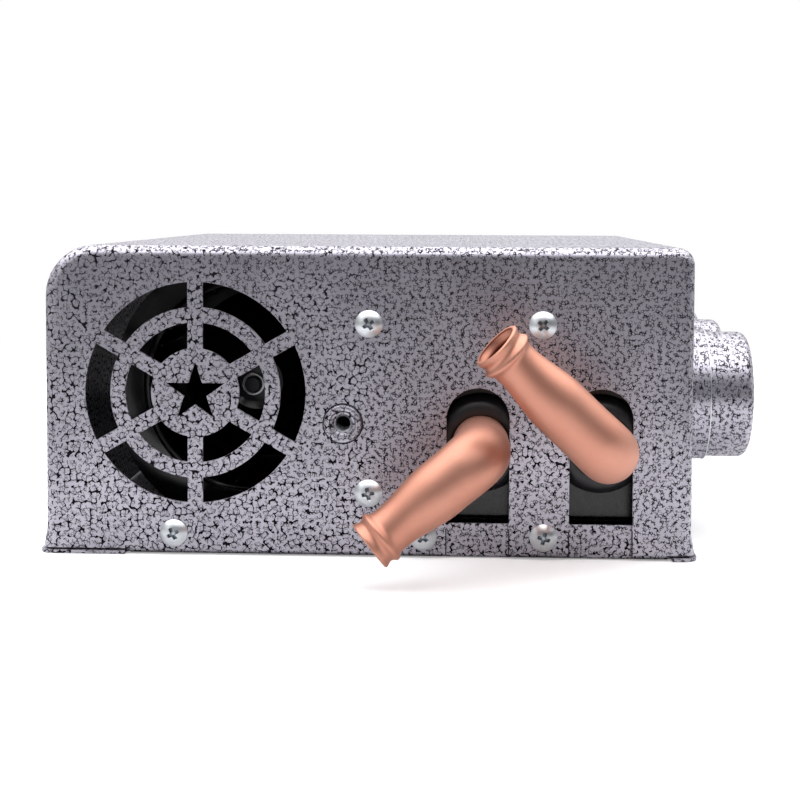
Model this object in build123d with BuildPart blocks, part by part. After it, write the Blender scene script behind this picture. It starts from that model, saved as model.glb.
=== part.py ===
from build123d import *
import math
import os

os.makedirs("parts", exist_ok=True)

# Under-dash hot water heater, in millimetres. X points to the air outlets, Y runs from the side with the
# water pipes (near) to the other side (far), Z is up. The origin is the centre of the base's underside.

# Pressed casing
casing_length = 230.0
casing_width = 248.0
casing_height = 110.0
sheet = 1.2
rear_top_radius = 18.0
front_top_radius = 6.0
side_edge_radius = 4.5
flare = 1.2
flare_height = 9.0

# Base plate
plate_lip = 0.8
plate_corner_radius = 5.0
edge_gap = 0.6
flange_height = 12.3
flange_rear_x = -84.5
flange_front_x = 106.5
bend_radius = 0.6
bend_relief = 1.5

# Air inlet grilles, one in each side of the casing
grille_x = -60.7
grille_drop = 1.1
grille_radius = 39.3
ring_outer_radius = 30.4
ring_inner_radius = 24.9
hub_disc_radius = 15.8
bar_width = 5.5
bar_count = 6
star_radius = 11.0
star_points = 5

# Pan head screws, M5
screw_radius = 2.5
screw_length = 6.5
screw_head_radius = 4.9
screw_head_edge = 0.9
screw_head_height = 2.9
screw_clearance = 0.25
thread_gap = 0.05
base_screw_x = (-68.4, 20.3, 62.8)
base_screw_z = 7.7
bulkhead_screw_x = 0.9
lower_screw_z = 22.8
upper_screw_drop = 27.2

# Rivet nuts for the mounting bracket, M6
nut_x = -8.2
nut_z = 47.4
nut_hole_radius = 2.65
nut_mouth_radius = 4.1
nut_body_radius = 4.5
nut_flange_radius = 6.9
nut_flange = 1.6
nut_collar_radius = 6.0
nut_collar = 2.4
nut_length = 14.0

# Air outlets
outlet_count = 3
outlet_pitch = 66.6
outlet_z = 52.6
outlet_reach = 27.2
drum_radius = 24.0
drum_wall = 1.0
drum_rim_radius = 3.5
drum_gap = 0.3
drum_lip = 2.5
sleeve_wall = 0.7
sleeve_reach = 11.0
sleeve_flange = 1.0
sleeve_flange_width = 6.0
retainer = 1.2
louvre_ring_wall = 0.8
louvre_depth = 9.0
louvre_count = 5
louvre_pitch = 8.0
louvre_sheet = 1.0
louvre_angle = 35.0

# Heater core
core_x = 62.0
core_depth = 72.0
core_foam = 10.2
core_wall_gap = 9.0
tank_depth = 15.0
tank_wall = 1.2
tank_edge_radius = 2.5
header_plate = 1.5
tube_rows = 6
tube_columns = 2
tube_depth = 30.0
tube_height = 2.4
tube_wall = 0.4
tube_stand = 2.0
fin_sheet = 0.3
fin_folds = 22
core_side_sheet = 1.2
pad_width = 14.0
pad_inset = 8.0
bracket_width = 20.0

# Water pipes, with a rolled bead for a 16 mm hose
pipe_names = ("outlet_pipe", "inlet_pipe")
pipe_x = (40.5, 82.8)
pipe_z = 43.0
pipe_radius = 9.9
pipe_wall = 1.0
pipe_reach = 38.9
pipe_rise = 3.5
pipe_bend_radius = 11.0
pipe_bend_run = 2.0
pipe_turn = 80.0
pipe_leg_angle = (218.7, 135.9)
pipe_leg_length = (47.1, 53.9)
pipe_inside = 3.0
hose_neck_radius = 7.75
hose_neck_length = 4.0
hose_bead_radius = 9.2
hose_lip_radius = 8.7
hose_groove_radius = 8.3
hose_end_length = 7.0
hose_bead_width = 4.0
hose_bead_land = 1.0
pipe_cone = 18.0
grommet_radius = 17.5
grommet_slope = 4.0
grommet_height = 6.5
slot_width = 22.2
slot_x = (39.5, 82.8)
slot_top = 60.4

# Blowers, one wheel at each end of the motor shaft
fan_x = -42.5
wheel_width = 43.0
wheel_gap = 1.7
blade_count = 32
blade_length = 5.5
blade_sheet = 1.0
blade_bow = 0.9
blade_lean = 2.2
wheel_back = 1.5
wheel_ring = 1.5
dish_ledge = 8.0
dish_top_radius = 10.0
dish_height = 38.0
dish_sheet = 1.5
dish_slot_count = 5
dish_slot_width = 4.0
dish_slot_length = 12.0
slot_ring_radius = 20.0
dish_slot_start = 45
hub_radius = 6.5
hub_length = 18.0
hub_depth = 20.0
clip_radius = 4.1
clip_thickness = 1.4
scroll_wall = 2.0
scroll_face_depth = 17.0
scroll_spread = 8.4
scroll_start_angle = -10.0
scroll_end_angle = 270.0
scroll_arcs = 3
inlet_cover = 4.5
inlet_lip = 2.5
inlet_bevel = 1.5
scroll_end_gap = 2.0
scroll_top_gap = 1.1
scroll_floor_gap = 0.7
scroll_shaft_hole = 9.0
scroll_flange = 3.0

# Bulkhead between the blowers and the core
bulkhead_x = 6.0
bulkhead_gap = 0.5
tab_height = 16.0
tab_reach = 12.0

# Motor
motor_radius = 29.0
motor_length = 100.0
motor_wall = 1.6
motor_cap = 2.0
shaft_radius = 3.0
shaft_end = 2.0
bush_radius = 6.0
bush_length = 8.0
bush_gap = 0.05
bush_boss_wall = 1.5
magnet_thickness = 7.0
magnet_length = 60.0
magnet_spacing = 20.0
armature_gap = 1.4
armature_length = 50.0
armature_slots = 7
armature_slot_width = 3.0
armature_slot_depth = 9.0
winding_length = 9.0
commutator_radius = 8.0
commutator_length = 8.0
brush_width = 5.0
brush_length = 9.0
brush_gap = 0.3
brush_box_wall = 1.0
card_sheet = 1.5

# Motor cradle and strap
cradle_gap = 1.0
cradle_length = 44.0
cradle_sheet = 1.6
cradle_wrap = 14.0
strap_width = 14.0
strap_sheet = 1.2
strap_foot = 12.0
strap_screw_radius = 2.0
strap_screw_head_radius = 4.0
strap_screw_head_edge = 0.7
strap_screw_head_height = 2.2

# Cable grommet in the rear wall
cable_y = 62.0
cable_z = 20.0
cable_hole_radius = 5.5
cable_grommet_radius = 8.0
cable_grommet_lip = 2.0
cable_bore_radius = 3.2

# Places worked out from the sizes above
half_length = casing_length / 2
half_width = casing_width / 2
shell_bottom = sheet + edge_gap
inner_half_width = half_width - sheet
inner_top = casing_height - sheet
near, far = -1, 1
sides = {"near": near, "far": far}
slot_radius = slot_width / 2
upper_screw_z = casing_height - upper_screw_drop
bulkhead_screw_z = (lower_screw_z, upper_screw_z)
core_bottom = sheet + core_foam
core_top = inner_top - core_foam
core_height = core_top - core_bottom
core_end_y = half_width - core_wall_gap

# The blower wheels are as large as the casing's height lets their volutes be
top_share = (90 - scroll_start_angle) / (scroll_end_angle - scroll_start_angle)
below_wheel = scroll_floor_gap + scroll_flange + scroll_wall + scroll_spread + wheel_gap
above_wheel = scroll_top_gap + scroll_wall + top_share * scroll_spread + wheel_gap
wheel_radius = (inner_top - sheet - below_wheel - above_wheel) / 2
fan_z = sheet + below_wheel + wheel_radius
scroll_start_radius = wheel_radius + wheel_gap
scroll_end_radius = scroll_start_radius + scroll_spread
inlet_radius = wheel_radius - inlet_cover
dish_radius = wheel_radius - dish_ledge
grille_z = fan_z - grille_drop

# The water pipes leave the near tank on a slight rise
pipe_run = half_width + pipe_reach - core_end_y
pipe_face_z = pipe_z - pipe_run * math.tan(math.radians(pipe_rise))
outward = Vector(0, near * math.cos(math.radians(pipe_rise)), math.sin(math.radians(pipe_rise)))


def side_plane(y):
    """The upright plane at y, drawn with X across and Z up, facing the near side."""
    return Plane.XZ.offset(-y)


def fan_axis():
    return Axis((fan_x, 0, fan_z), (0, 1, 0))


def turned(plane, axis, outline, mode=Mode.ADD):
    """Turn a closed outline of (distance along the axis, radius) points about the axis."""
    with BuildSketch(plane) as section:
        with BuildLine():
            Polyline(*outline, close=True)
        make_face()
    revolve(section.sketch, axis=axis, mode=mode)


def pressed_form(inset):
    """The casing's pressed outside drawn in by inset, down to the lower edge, as a solid."""
    with BuildPart() as form:
        with BuildSketch(side_plane(half_width - inset)):
            with Locations((0, (flare_height + casing_height - inset) / 2)):
                Rectangle(casing_length - 2 * inset, casing_height - inset - flare_height)
            fillet(vertices().group_by(Axis.Y)[-1].sort_by(Axis.X)[0], rear_top_radius - inset)
            fillet(vertices().group_by(Axis.Y)[-1].sort_by(Axis.X)[-1], front_top_radius - inset)
        extrude(amount=casing_width - 2 * inset)
        end_edges = faces().sort_by(Axis.Y)[0].edges() + faces().sort_by(Axis.Y)[-1].edges()
        fillet(
            end_edges.filter_by(lambda edge: edge.center().Z > flare_height + 0.1),
            side_edge_radius - inset,
        )
        for height, spread in ((flare_height, 0), (shell_bottom, flare)):
            with BuildSketch(Plane.XY.offset(height)):
                RectangleRounded(
                    casing_length - 2 * inset + 2 * spread,
                    casing_width - 2 * inset,
                    side_edge_radius - inset,
                )
        loft(ruled=True)
    return form.part


def grille_openings(y):
    """The inlet grille's windows: two broken rings and a star in the hub disc."""
    with BuildSketch(side_plane(y)) as openings:
        with Locations((grille_x, grille_z)):
            Circle(grille_radius)
            Circle(ring_outer_radius, mode=Mode.SUBTRACT)
            Circle(ring_inner_radius)
            Circle(hub_disc_radius, mode=Mode.SUBTRACT)
            with PolarLocations(grille_radius / 2, bar_count, start_angle=30):
                Rectangle(grille_radius + 2, bar_width, mode=Mode.SUBTRACT)
        star_inner = star_radius * math.sin(math.radians(18)) / math.sin(math.radians(54))
        corners = []
        for corner in range(2 * star_points):
            reach = star_inner if corner % 2 else star_radius
            turn = math.radians(90 + 180 * corner / star_points)
            corners.append((grille_x + reach * math.cos(turn), grille_z + reach * math.sin(turn)))
        with BuildLine():
            Polyline(*corners, close=True)
        make_face()
    return openings.sketch


def pan_screw(place, outward, radius, length, head_radius, head_edge, head_height):
    """A pan head screw whose head rises outward from place and whose shank runs the other way."""
    across = Vector(1, 0, 0) if abs(outward.X) < 0.5 else Vector(0, 1, 0)
    dome = head_height - head_edge
    ball = (head_radius**2 + dome**2) / (2 * dome)
    half_turn = math.asin(head_radius / ball) / 2
    middle = (head_height - ball + ball * math.cos(half_turn), ball * math.sin(half_turn))
    with BuildPart() as screw:
        turned(
            Plane(origin=place, x_dir=outward, z_dir=across),
            Axis(place, outward),
            (
                (head_height, 0),
                (-length, 0),
                (-length, radius),
                (0, radius),
                (0, head_radius),
                (head_edge, head_radius),
                middle,
            ),
        )
    return screw.part


def pipe_corner(x):
    """Where the two straight runs of the water pipe at x would meet."""
    return Vector(x, near * (half_width + pipe_reach), pipe_z)


def pipe_start(x):
    """The plane square to the water pipe at x, where it begins inside the tank."""
    first_run = (pipe_run + pipe_inside) / math.cos(math.radians(pipe_rise))
    return Plane(origin=pipe_corner(x) - outward * first_run, x_dir=(1, 0, 0), z_dir=outward)


def casing_screw(x, z, side):
    return pan_screw(
        Vector(x, side * half_width, z),
        Vector(0, side, 0),
        screw_radius - thread_gap,
        screw_length,
        screw_head_radius,
        screw_head_edge,
        screw_head_height,
    )


# Casing: one pressed sheet, open below, with grilles, pipe slots, screw holes and outlet holes
with BuildPart() as casing_shell:
    add(pressed_form(0))
    add(pressed_form(sheet), mode=Mode.SUBTRACT)
    for side in sides.values():
        wall_plane = side_plane(side * (half_width - sheet / 2))
        extrude(
            grille_openings(side * (half_width - sheet / 2)), amount=sheet, both=True, mode=Mode.SUBTRACT
        )
        with BuildSketch(wall_plane):
            with Locations(*[(x, base_screw_z) for x in base_screw_x]):
                Circle(screw_radius + screw_clearance)
            with Locations(*[(bulkhead_screw_x, z) for z in bulkhead_screw_z], (core_x, upper_screw_z)):
                Circle(screw_radius + screw_clearance)
            with Locations((nut_x, nut_z)):
                Circle(nut_body_radius)
        extrude(amount=sheet, both=True, mode=Mode.SUBTRACT)
    with BuildSketch(side_plane(near * (half_width - sheet / 2))):
        for x in slot_x:
            with Locations((x, slot_top - slot_radius)):
                Circle(slot_radius)
            with Locations((x, (slot_top - slot_radius) / 2)):
                Rectangle(slot_width, slot_top - slot_radius)
    extrude(amount=sheet, both=True, mode=Mode.SUBTRACT)
    with BuildSketch(Plane.YZ.offset(half_length - sheet / 2)):
        with Locations((0, outlet_z)):
            with GridLocations(outlet_pitch, 1, outlet_count, 1):
                Circle(drum_radius + drum_gap + sleeve_wall)
    extrude(amount=sheet, both=True, mode=Mode.SUBTRACT)
    with BuildSketch(Plane.YZ.offset(-half_length + sheet / 2)):
        with Locations((cable_y, cable_z)):
            Circle(cable_hole_radius)
    extrude(amount=sheet, both=True, mode=Mode.SUBTRACT)
casing_shell.part.label = "casing_shell"
export_step(casing_shell.part, "parts/casing_shell.step")

# Base plate: flat sheet whose long sides turn up inside the casing, with lips at the four corners
flange_length = flange_front_x - flange_rear_x
flange_middle = (flange_front_x + flange_rear_x) / 2
plate_half_width = half_width + plate_lip
relief_inner_y = inner_half_width - sheet - bend_radius - bend_relief / 2
with BuildPart() as base_plate:
    with BuildSketch():
        RectangleRounded(
            casing_length + 2 * (flare + plate_lip), 2 * plate_half_width, plate_corner_radius
        )
        for side in sides.values():
            with Locations((flange_middle, side * (inner_half_width + plate_half_width) / 2)):
                Rectangle(flange_length, plate_half_width - inner_half_width, mode=Mode.SUBTRACT)
            for x in (flange_rear_x - bend_relief / 2, flange_front_x + bend_relief / 2):
                with Locations((x, side * (relief_inner_y + plate_half_width) / 2)):
                    Rectangle(bend_relief, plate_half_width - relief_inner_y, mode=Mode.SUBTRACT)
    extrude(amount=sheet)
    with BuildSketch():
        for side in sides.values():
            with Locations((flange_middle, side * (inner_half_width - sheet / 2))):
                Rectangle(flange_length, sheet)
    extrude(amount=flange_height)
    long_edges = edges().filter_by(Axis.X).filter_by(lambda edge: edge.length > flange_length - 1)
    fillet(
        long_edges.filter_by(
            lambda edge: edge.center().Z < 0.1 and abs(abs(edge.center().Y) - inner_half_width) < 0.1
        ),
        bend_radius + sheet,
    )
    fillet(
        edges()
        .filter_by(Axis.X)
        .filter_by(
            lambda edge: abs(edge.center().Z - sheet) < 0.1
            and abs(abs(edge.center().Y) - inner_half_width + sheet) < 0.1
        ),
        bend_radius,
    )
    for side in sides.values():
        with BuildSketch(side_plane(side * (inner_half_width - sheet / 2))):
            with Locations(*[(x, base_screw_z) for x in base_screw_x]):
                Circle(screw_radius)
        extrude(amount=sheet, both=True, mode=Mode.SUBTRACT)
    with BuildSketch(Plane.XY):
        for end in (-1, 1):
            with Locations((fan_x + end * (motor_radius + strap_sheet + strap_foot / 2), 0)):
                Circle(strap_screw_radius)
    extrude(amount=sheet, mode=Mode.SUBTRACT)
base_plate.part.label = "base_plate"
export_step(base_plate.part, "parts/base_plate.step")

# Screws through the casing's lower edge into the base plate's flanges
with BuildPart() as base_screws:
    for side in sides.values():
        for x in base_screw_x:
            add(casing_screw(x, base_screw_z, side))
base_screws.part.label = "base_screws"
export_step(base_screws.part, "parts/base_screws.step")

# Screws through the casing's sides into the bulkhead's tabs and the core's brackets
with BuildPart() as side_screws:
    for side in sides.values():
        for z in bulkhead_screw_z:
            add(casing_screw(bulkhead_screw_x, z, side))
        add(casing_screw(core_x, upper_screw_z, side))
side_screws.part.label = "side_screws"
export_step(side_screws.part, "parts/side_screws.step")

# Rivet nuts: a flange outside the wall, a rolled collar behind it and a blind-riveted barrel
with BuildPart() as rivet_nuts:
    for side in sides.values():
        nut_place = Vector(nut_x, side * half_width, nut_z)
        turned(
            Plane(origin=nut_place, x_dir=(0, side, 0), z_dir=(1, 0, 0)),
            Axis(nut_place, (0, side, 0)),
            (
                (nut_flange, nut_mouth_radius),
                (nut_flange, nut_flange_radius - nut_flange / 2),
                (nut_flange / 2, nut_flange_radius),
                (0, nut_flange_radius),
                (0, nut_body_radius),
                (-sheet, nut_body_radius),
                (-sheet, nut_collar_radius),
                (-sheet - nut_collar, nut_body_radius),
                (nut_flange - nut_length, nut_body_radius),
                (nut_flange - nut_length, nut_hole_radius),
                (nut_flange + nut_hole_radius - nut_mouth_radius, nut_hole_radius),
            ),
        )
rivet_nuts.part.label = "rivet_nuts"
export_step(rivet_nuts.part, "parts/rivet_nuts.step")

# Air outlets: a fixed sleeve behind the front wall, a turning drum in it and a retaining ring
sleeve_inner_radius = drum_radius + drum_gap
sleeve_outer_radius = sleeve_inner_radius + sleeve_wall
sleeve_flange_radius = sleeve_outer_radius + sleeve_flange_width
front_inside = half_length - sheet
sleeve_back = front_inside - sleeve_flange
lip_front = sleeve_back - drum_gap
lip_back = lip_front - drum_wall
retainer_step = lip_back - drum_gap
drum_front = half_length + outlet_reach
drum_inner_radius = drum_radius - drum_wall
lip_radius = drum_radius + drum_lip
outlet_y = [(place - (outlet_count - 1) / 2) * outlet_pitch for place in range(outlet_count)]
outlet_names = ("near", "middle", "far")


def vent_plane(y):
    """The upright plane through the outlet at y, with X across and Z up."""
    return Plane(origin=(0, y, outlet_z), x_dir=(1, 0, 0), z_dir=(0, -1, 0))


def vent_axis(y):
    return Axis((0, y, outlet_z), (1, 0, 0))


with BuildPart() as outlet_sleeves:
    for y in outlet_y:
        turned(
            vent_plane(y),
            vent_axis(y),
            (
                (sleeve_back, sleeve_inner_radius),
                (half_length + sleeve_reach, sleeve_inner_radius),
                (half_length + sleeve_reach, sleeve_outer_radius),
                (front_inside, sleeve_outer_radius),
                (front_inside, sleeve_flange_radius),
                (sleeve_back, sleeve_flange_radius),
            ),
        )
outlet_sleeves.part.label = "outlet_sleeves"
export_step(outlet_sleeves.part, "parts/outlet_sleeves.step")

with BuildPart() as vent_retainers:
    for y in outlet_y:
        turned(
            vent_plane(y),
            vent_axis(y),
            (
                (sleeve_back, lip_radius + drum_gap),
                (sleeve_back, sleeve_flange_radius),
                (retainer_step - retainer, sleeve_flange_radius),
                (retainer_step - retainer, drum_radius),
                (retainer_step, drum_radius),
                (retainer_step, lip_radius + drum_gap),
            ),
        )
vent_retainers.part.label = "vent_retainers"
export_step(vent_retainers.part, "parts/vent_retainers.step")

outer_bend = drum_front - drum_rim_radius
rim_opening = drum_radius - drum_rim_radius
rim_half = drum_rim_radius * math.sin(math.radians(45))
louvre_middle = outer_bend - louvre_depth / 2
ring_inside = drum_inner_radius - louvre_ring_wall
for name, y in zip(outlet_names, outlet_y):
    with BuildPart() as vent_drum:
        turned(
            vent_plane(y),
            vent_axis(y),
            (
                (outer_bend, drum_radius),
                (lip_front, drum_radius),
                (lip_front, lip_radius),
                (lip_back, lip_radius),
                (lip_back, drum_inner_radius),
                (outer_bend, drum_inner_radius),
                (drum_front - drum_wall, rim_opening),
                (drum_front, rim_opening),
                (outer_bend + rim_half, rim_opening + rim_half),
            ),
        )
    vent_drum.part.label = f"vent_drum_{name}"
    export_step(vent_drum.part, f"parts/vent_drum_{name}.step")

    with BuildPart() as vent_louvre:
        with BuildSketch(vent_plane(y)):
            for row in range(louvre_count):
                height = (row - (louvre_count - 1) / 2) * louvre_pitch
                with Locations(Location((louvre_middle, height), louvre_angle)):
                    Rectangle(louvre_depth / math.cos(math.radians(louvre_angle)) - 1, louvre_sheet)
        extrude(amount=drum_radius, both=True)
        with BuildSketch(Plane.YZ.offset(outer_bend - louvre_depth)):
            with Locations((y, outlet_z)):
                Circle(drum_inner_radius - louvre_ring_wall / 2)
        extrude(amount=louvre_depth, mode=Mode.INTERSECT)
        turned(
            vent_plane(y),
            vent_axis(y),
            (
                (outer_bend - louvre_depth, ring_inside),
                (outer_bend, ring_inside),
                (outer_bend, drum_inner_radius),
                (outer_bend - louvre_depth, drum_inner_radius),
            ),
        )
    vent_louvre.part.label = f"vent_louvre_{name}"
    export_step(vent_louvre.part, f"parts/vent_louvre_{name}.step")

# Heater core: two water tanks joined by flat tubes, with folded fins between the tubes
header_y = core_end_y - tank_depth
core_middle_z = core_bottom + core_height / 2
core_rear_x = core_x - core_depth / 2
core_front_x = core_x + core_depth / 2
tube_pitch = core_height / (tube_rows + 1)
column_pitch = core_depth / tube_columns
tube_end_y = header_y + header_plate + tube_stand
for name, side in sides.items():
    with BuildPart() as core_tank:
        with BuildSketch(side_plane(side * header_y)):
            with Locations((core_x, core_middle_z)):
                Rectangle(core_depth, core_height)
        extrude(amount=-side * tank_depth)
        open_face = faces().sort_by(Axis.Y)[-1 if side == near else 0]
        fillet(edges() - open_face.edges(), tank_edge_radius)
        with BuildSketch(side_plane(side * (core_end_y - tank_wall))):
            with Locations((core_x, core_middle_z)):
                Rectangle(core_depth - 2 * tank_wall, core_height - 2 * tank_wall)
                if side == near:
                    Rectangle(tank_wall, core_height, mode=Mode.SUBTRACT)
        extrude(amount=side * tank_depth, mode=Mode.SUBTRACT)
        with BuildSketch(side_plane(side * (header_y + header_plate))):
            with Locations((core_x, core_middle_z)):
                Rectangle(core_depth, core_height)
        extrude(amount=side * header_plate, mode=Mode.SUBTRACT)
        if side == near:
            for x in pipe_x:
                with BuildSketch(pipe_start(x)):
                    Circle(pipe_radius)
                extrude(amount=2 * pipe_inside, mode=Mode.SUBTRACT)
    core_tank.part.label = f"core_tank_{name}"
    export_step(core_tank.part, f"parts/core_tank_{name}.step")

    with BuildPart() as core_header:
        with BuildSketch(side_plane(side * header_y)):
            with Locations((core_x, core_middle_z)):
                RectangleRounded(core_depth, core_height, tank_edge_radius)
                with GridLocations(column_pitch, tube_pitch, tube_columns, tube_rows):
                    Rectangle(tube_depth, tube_height, mode=Mode.SUBTRACT)
        extrude(amount=-side * header_plate)
    core_header.part.label = f"core_header_{name}"
    export_step(core_header.part, f"parts/core_header_{name}.step")

with BuildPart() as core_tubes:
    with BuildSketch(side_plane(tube_end_y)):
        with Locations((core_x, core_middle_z)):
            with GridLocations(column_pitch, tube_pitch, tube_columns, tube_rows):
                Rectangle(tube_depth, tube_height)
                Rectangle(tube_depth - 2 * tube_wall, tube_height - 2 * tube_wall, mode=Mode.SUBTRACT)
    extrude(amount=2 * tube_end_y)
core_tubes.part.label = "core_tubes"
export_step(core_tubes.part, "parts/core_tubes.step")

# Each fin strip zigzags from one header to the other, as high as the gap between two rows of tubes
fin_step = header_y / fin_folds
tube_rises = [core_bottom + (row + 1) * tube_pitch for row in range(tube_rows)]
fin_floors = [core_bottom + core_side_sheet] + [rise + tube_height / 2 for rise in tube_rises]
fin_roofs = [rise - tube_height / 2 for rise in tube_rises] + [core_top - core_side_sheet]
with BuildPart() as core_fins:
    with BuildSketch(Plane.YZ.offset(core_rear_x)):
        for floor, roof in zip(fin_floors, fin_roofs):
            rise = fin_sheet * math.hypot(fin_step, roof - floor) / fin_step
            under, over = [], []
            for fold in range(2 * fin_folds + 1):
                fold_y = fold * fin_step - header_y
                under.append((fold_y, roof - rise if fold % 2 else floor))
                over.append((fold_y, roof if fold % 2 else floor + rise))
            with BuildLine():
                Polyline(*under, *reversed(over), close=True)
            make_face()
    extrude(amount=core_depth)
core_fins.part.label = "core_fins"
export_step(core_fins.part, "parts/core_fins.step")

with BuildPart() as core_side_plates:
    for height in (core_bottom, core_top - core_side_sheet):
        with BuildSketch(Plane.XY.offset(height)):
            with Locations((core_x, 0)):
                Rectangle(core_depth, 2 * header_y)
        extrude(amount=core_side_sheet)
core_side_plates.part.label = "core_side_plates"
export_step(core_side_plates.part, "parts/core_side_plates.step")

# Foam strips that hold the core between the base plate and the casing's roof
with BuildPart() as core_foam_strips:
    for low, high in ((sheet, core_bottom), (core_top, inner_top)):
        with BuildSketch(Plane.XY.offset(low)):
            with Locations((core_x, 0)):
                with GridLocations(core_depth - 2 * pad_inset, 1, 2, 1):
                    Rectangle(pad_width, 2 * header_y - 2 * pad_inset)
        extrude(amount=high - low)
core_foam_strips.part.label = "core_foam_strips"
export_step(core_foam_strips.part, "parts/core_foam_strips.step")

# Brackets: bent channels that hold each tank to the casing's side
for name, side in sides.items():
    with BuildPart() as core_bracket:
        with BuildSketch(Plane.XY.offset(upper_screw_z - tab_height / 2)):
            with Locations((core_x, side * (inner_half_width + core_end_y) / 2)):
                Rectangle(bracket_width, inner_half_width - core_end_y)
            with Locations((core_x + sheet, side * (inner_half_width + core_end_y) / 2)):
                Rectangle(
                    bracket_width, inner_half_width - core_end_y - 2 * sheet, mode=Mode.SUBTRACT
                )
        extrude(amount=tab_height)
        with BuildSketch(side_plane(side * (inner_half_width - sheet / 2))):
            with Locations((core_x, upper_screw_z)):
                Circle(screw_radius)
        extrude(amount=sheet, both=True, mode=Mode.SUBTRACT)
    core_bracket.part.label = f"core_bracket_{name}"
    export_step(core_bracket.part, f"parts/core_bracket_{name}.step")

# Water pipes: each leaves the near tank, turns in a tight elbow and ends in a swaged, beaded neck
for name, x, leg_angle, leg_length in zip(pipe_names, pipe_x, pipe_leg_angle, pipe_leg_length):
    corner = pipe_corner(x)
    across = math.sin(math.radians(pipe_turn))
    leg = Vector(
        across * math.cos(math.radians(leg_angle)),
        near * math.cos(math.radians(pipe_turn)),
        across * math.sin(math.radians(leg_angle)),
    )
    square = leg.cross(outward).normalized()
    bend_tangent = pipe_bend_radius * math.tan(math.radians(outward.get_angle(leg) / 2))
    leg_start = bend_tangent + pipe_bend_run
    bead_middle = leg_length - hose_end_length + hose_bead_width / 2
    neck_end = leg_length - hose_end_length
    neck_start = neck_end - hose_neck_length
    cone_start = neck_start - pipe_cone
    leg_profile = (
        (leg_start, pipe_radius),
        (cone_start, pipe_radius),
        (neck_start, hose_neck_radius),
        (neck_end, hose_neck_radius),
        (bead_middle - hose_bead_land / 2, hose_bead_radius),
        (bead_middle + hose_bead_land / 2, hose_bead_radius),
        (neck_end + hose_bead_width, hose_groove_radius),
        (leg_length, hose_lip_radius),
    )
    with BuildPart() as hose_pipe:
        with BuildLine() as route:
            FilletPolyline(
                pipe_start(x).origin, corner, corner + leg * leg_start, radius=pipe_bend_radius
            )
        with BuildSketch(pipe_start(x)):
            Circle(pipe_radius)
            Circle(pipe_radius - pipe_wall, mode=Mode.SUBTRACT)
        sweep(path=route.line)
        with BuildSketch(Plane(origin=corner, x_dir=leg, z_dir=square)):
            with BuildLine():
                Polyline(*leg_profile, *[(s, r - pipe_wall) for s, r in reversed(leg_profile)], close=True)
            make_face()
        revolve(axis=Axis(corner, leg))
    hose_pipe.part.label = name
    export_step(hose_pipe.part, f"parts/{name}.step")

# Rubber grommets round the pipes, seated on the near tank behind the slots
with BuildPart() as pipe_grommets:
    for x in pipe_x:
        grommet_axis = Axis((x, near * core_end_y, pipe_face_z), (0, near, 0))
        turned(
            Plane(origin=grommet_axis.position, x_dir=(0, near, 0), z_dir=(1, 0, 0)),
            grommet_axis,
            (
                (0, 0),
                (0, grommet_radius),
                (grommet_height / 3, grommet_radius),
                (grommet_height, grommet_radius - grommet_slope),
                (grommet_height, 0),
            ),
        )
        with BuildSketch(pipe_start(x)):
            Circle(pipe_radius)
        extrude(amount=pipe_inside + 2 * grommet_height, mode=Mode.SUBTRACT)
pipe_grommets.part.label = "pipe_grommets"
export_step(pipe_grommets.part, "parts/pipe_grommets.step")

# Blower housings: a volute whose wall runs away from the wheel to a mouth at the bulkhead, and a cover
# with the inlet. Distances called deep are measured from the middle of the heater.
cover_deep = half_width - scroll_face_depth
body_deep = cover_deep - scroll_wall
wheel_front_deep = body_deep - scroll_end_gap
wheel_back_deep = wheel_front_deep - wheel_width
scroll_floor_deep = wheel_back_deep - scroll_end_gap
scroll_back_deep = scroll_floor_deep - scroll_wall
tongue_z = fan_z + scroll_start_radius * math.sin(math.radians(scroll_start_angle))
mouth_bottom = fan_z - scroll_end_radius
flange_middle_deep = (body_deep + scroll_back_deep - scroll_flange) / 2
flange_span = body_deep - scroll_back_deep + scroll_flange


def scroll_outline(y, grow=0.0):
    """The volute's outline, grown outward: arcs through a radius that rises evenly from the tongue."""
    spiral = []
    for step in range(2 * scroll_arcs + 1):
        share = step / (2 * scroll_arcs)
        angle = math.radians(scroll_start_angle + share * (scroll_end_angle - scroll_start_angle))
        radius = scroll_start_radius + share * (scroll_end_radius - scroll_start_radius) + grow
        spiral.append((fan_x + radius * math.cos(angle), fan_z + radius * math.sin(angle)))
    low, high = mouth_bottom - grow, tongue_z + grow
    with BuildSketch(side_plane(y)) as outline:
        with BuildLine():
            for start in range(0, 2 * scroll_arcs, 2):
                ThreePointArc(*spiral[start : start + 3])
            Polyline(spiral[-1], (fan_x, fan_z), spiral[0])
        make_face()
        with Locations((fan_x, fan_z)):
            Circle(scroll_start_radius + grow)
        with Locations(((fan_x + bulkhead_x) / 2, (low + high) / 2)):
            Rectangle(bulkhead_x - fan_x, high - low)
    return outline.sketch


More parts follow.
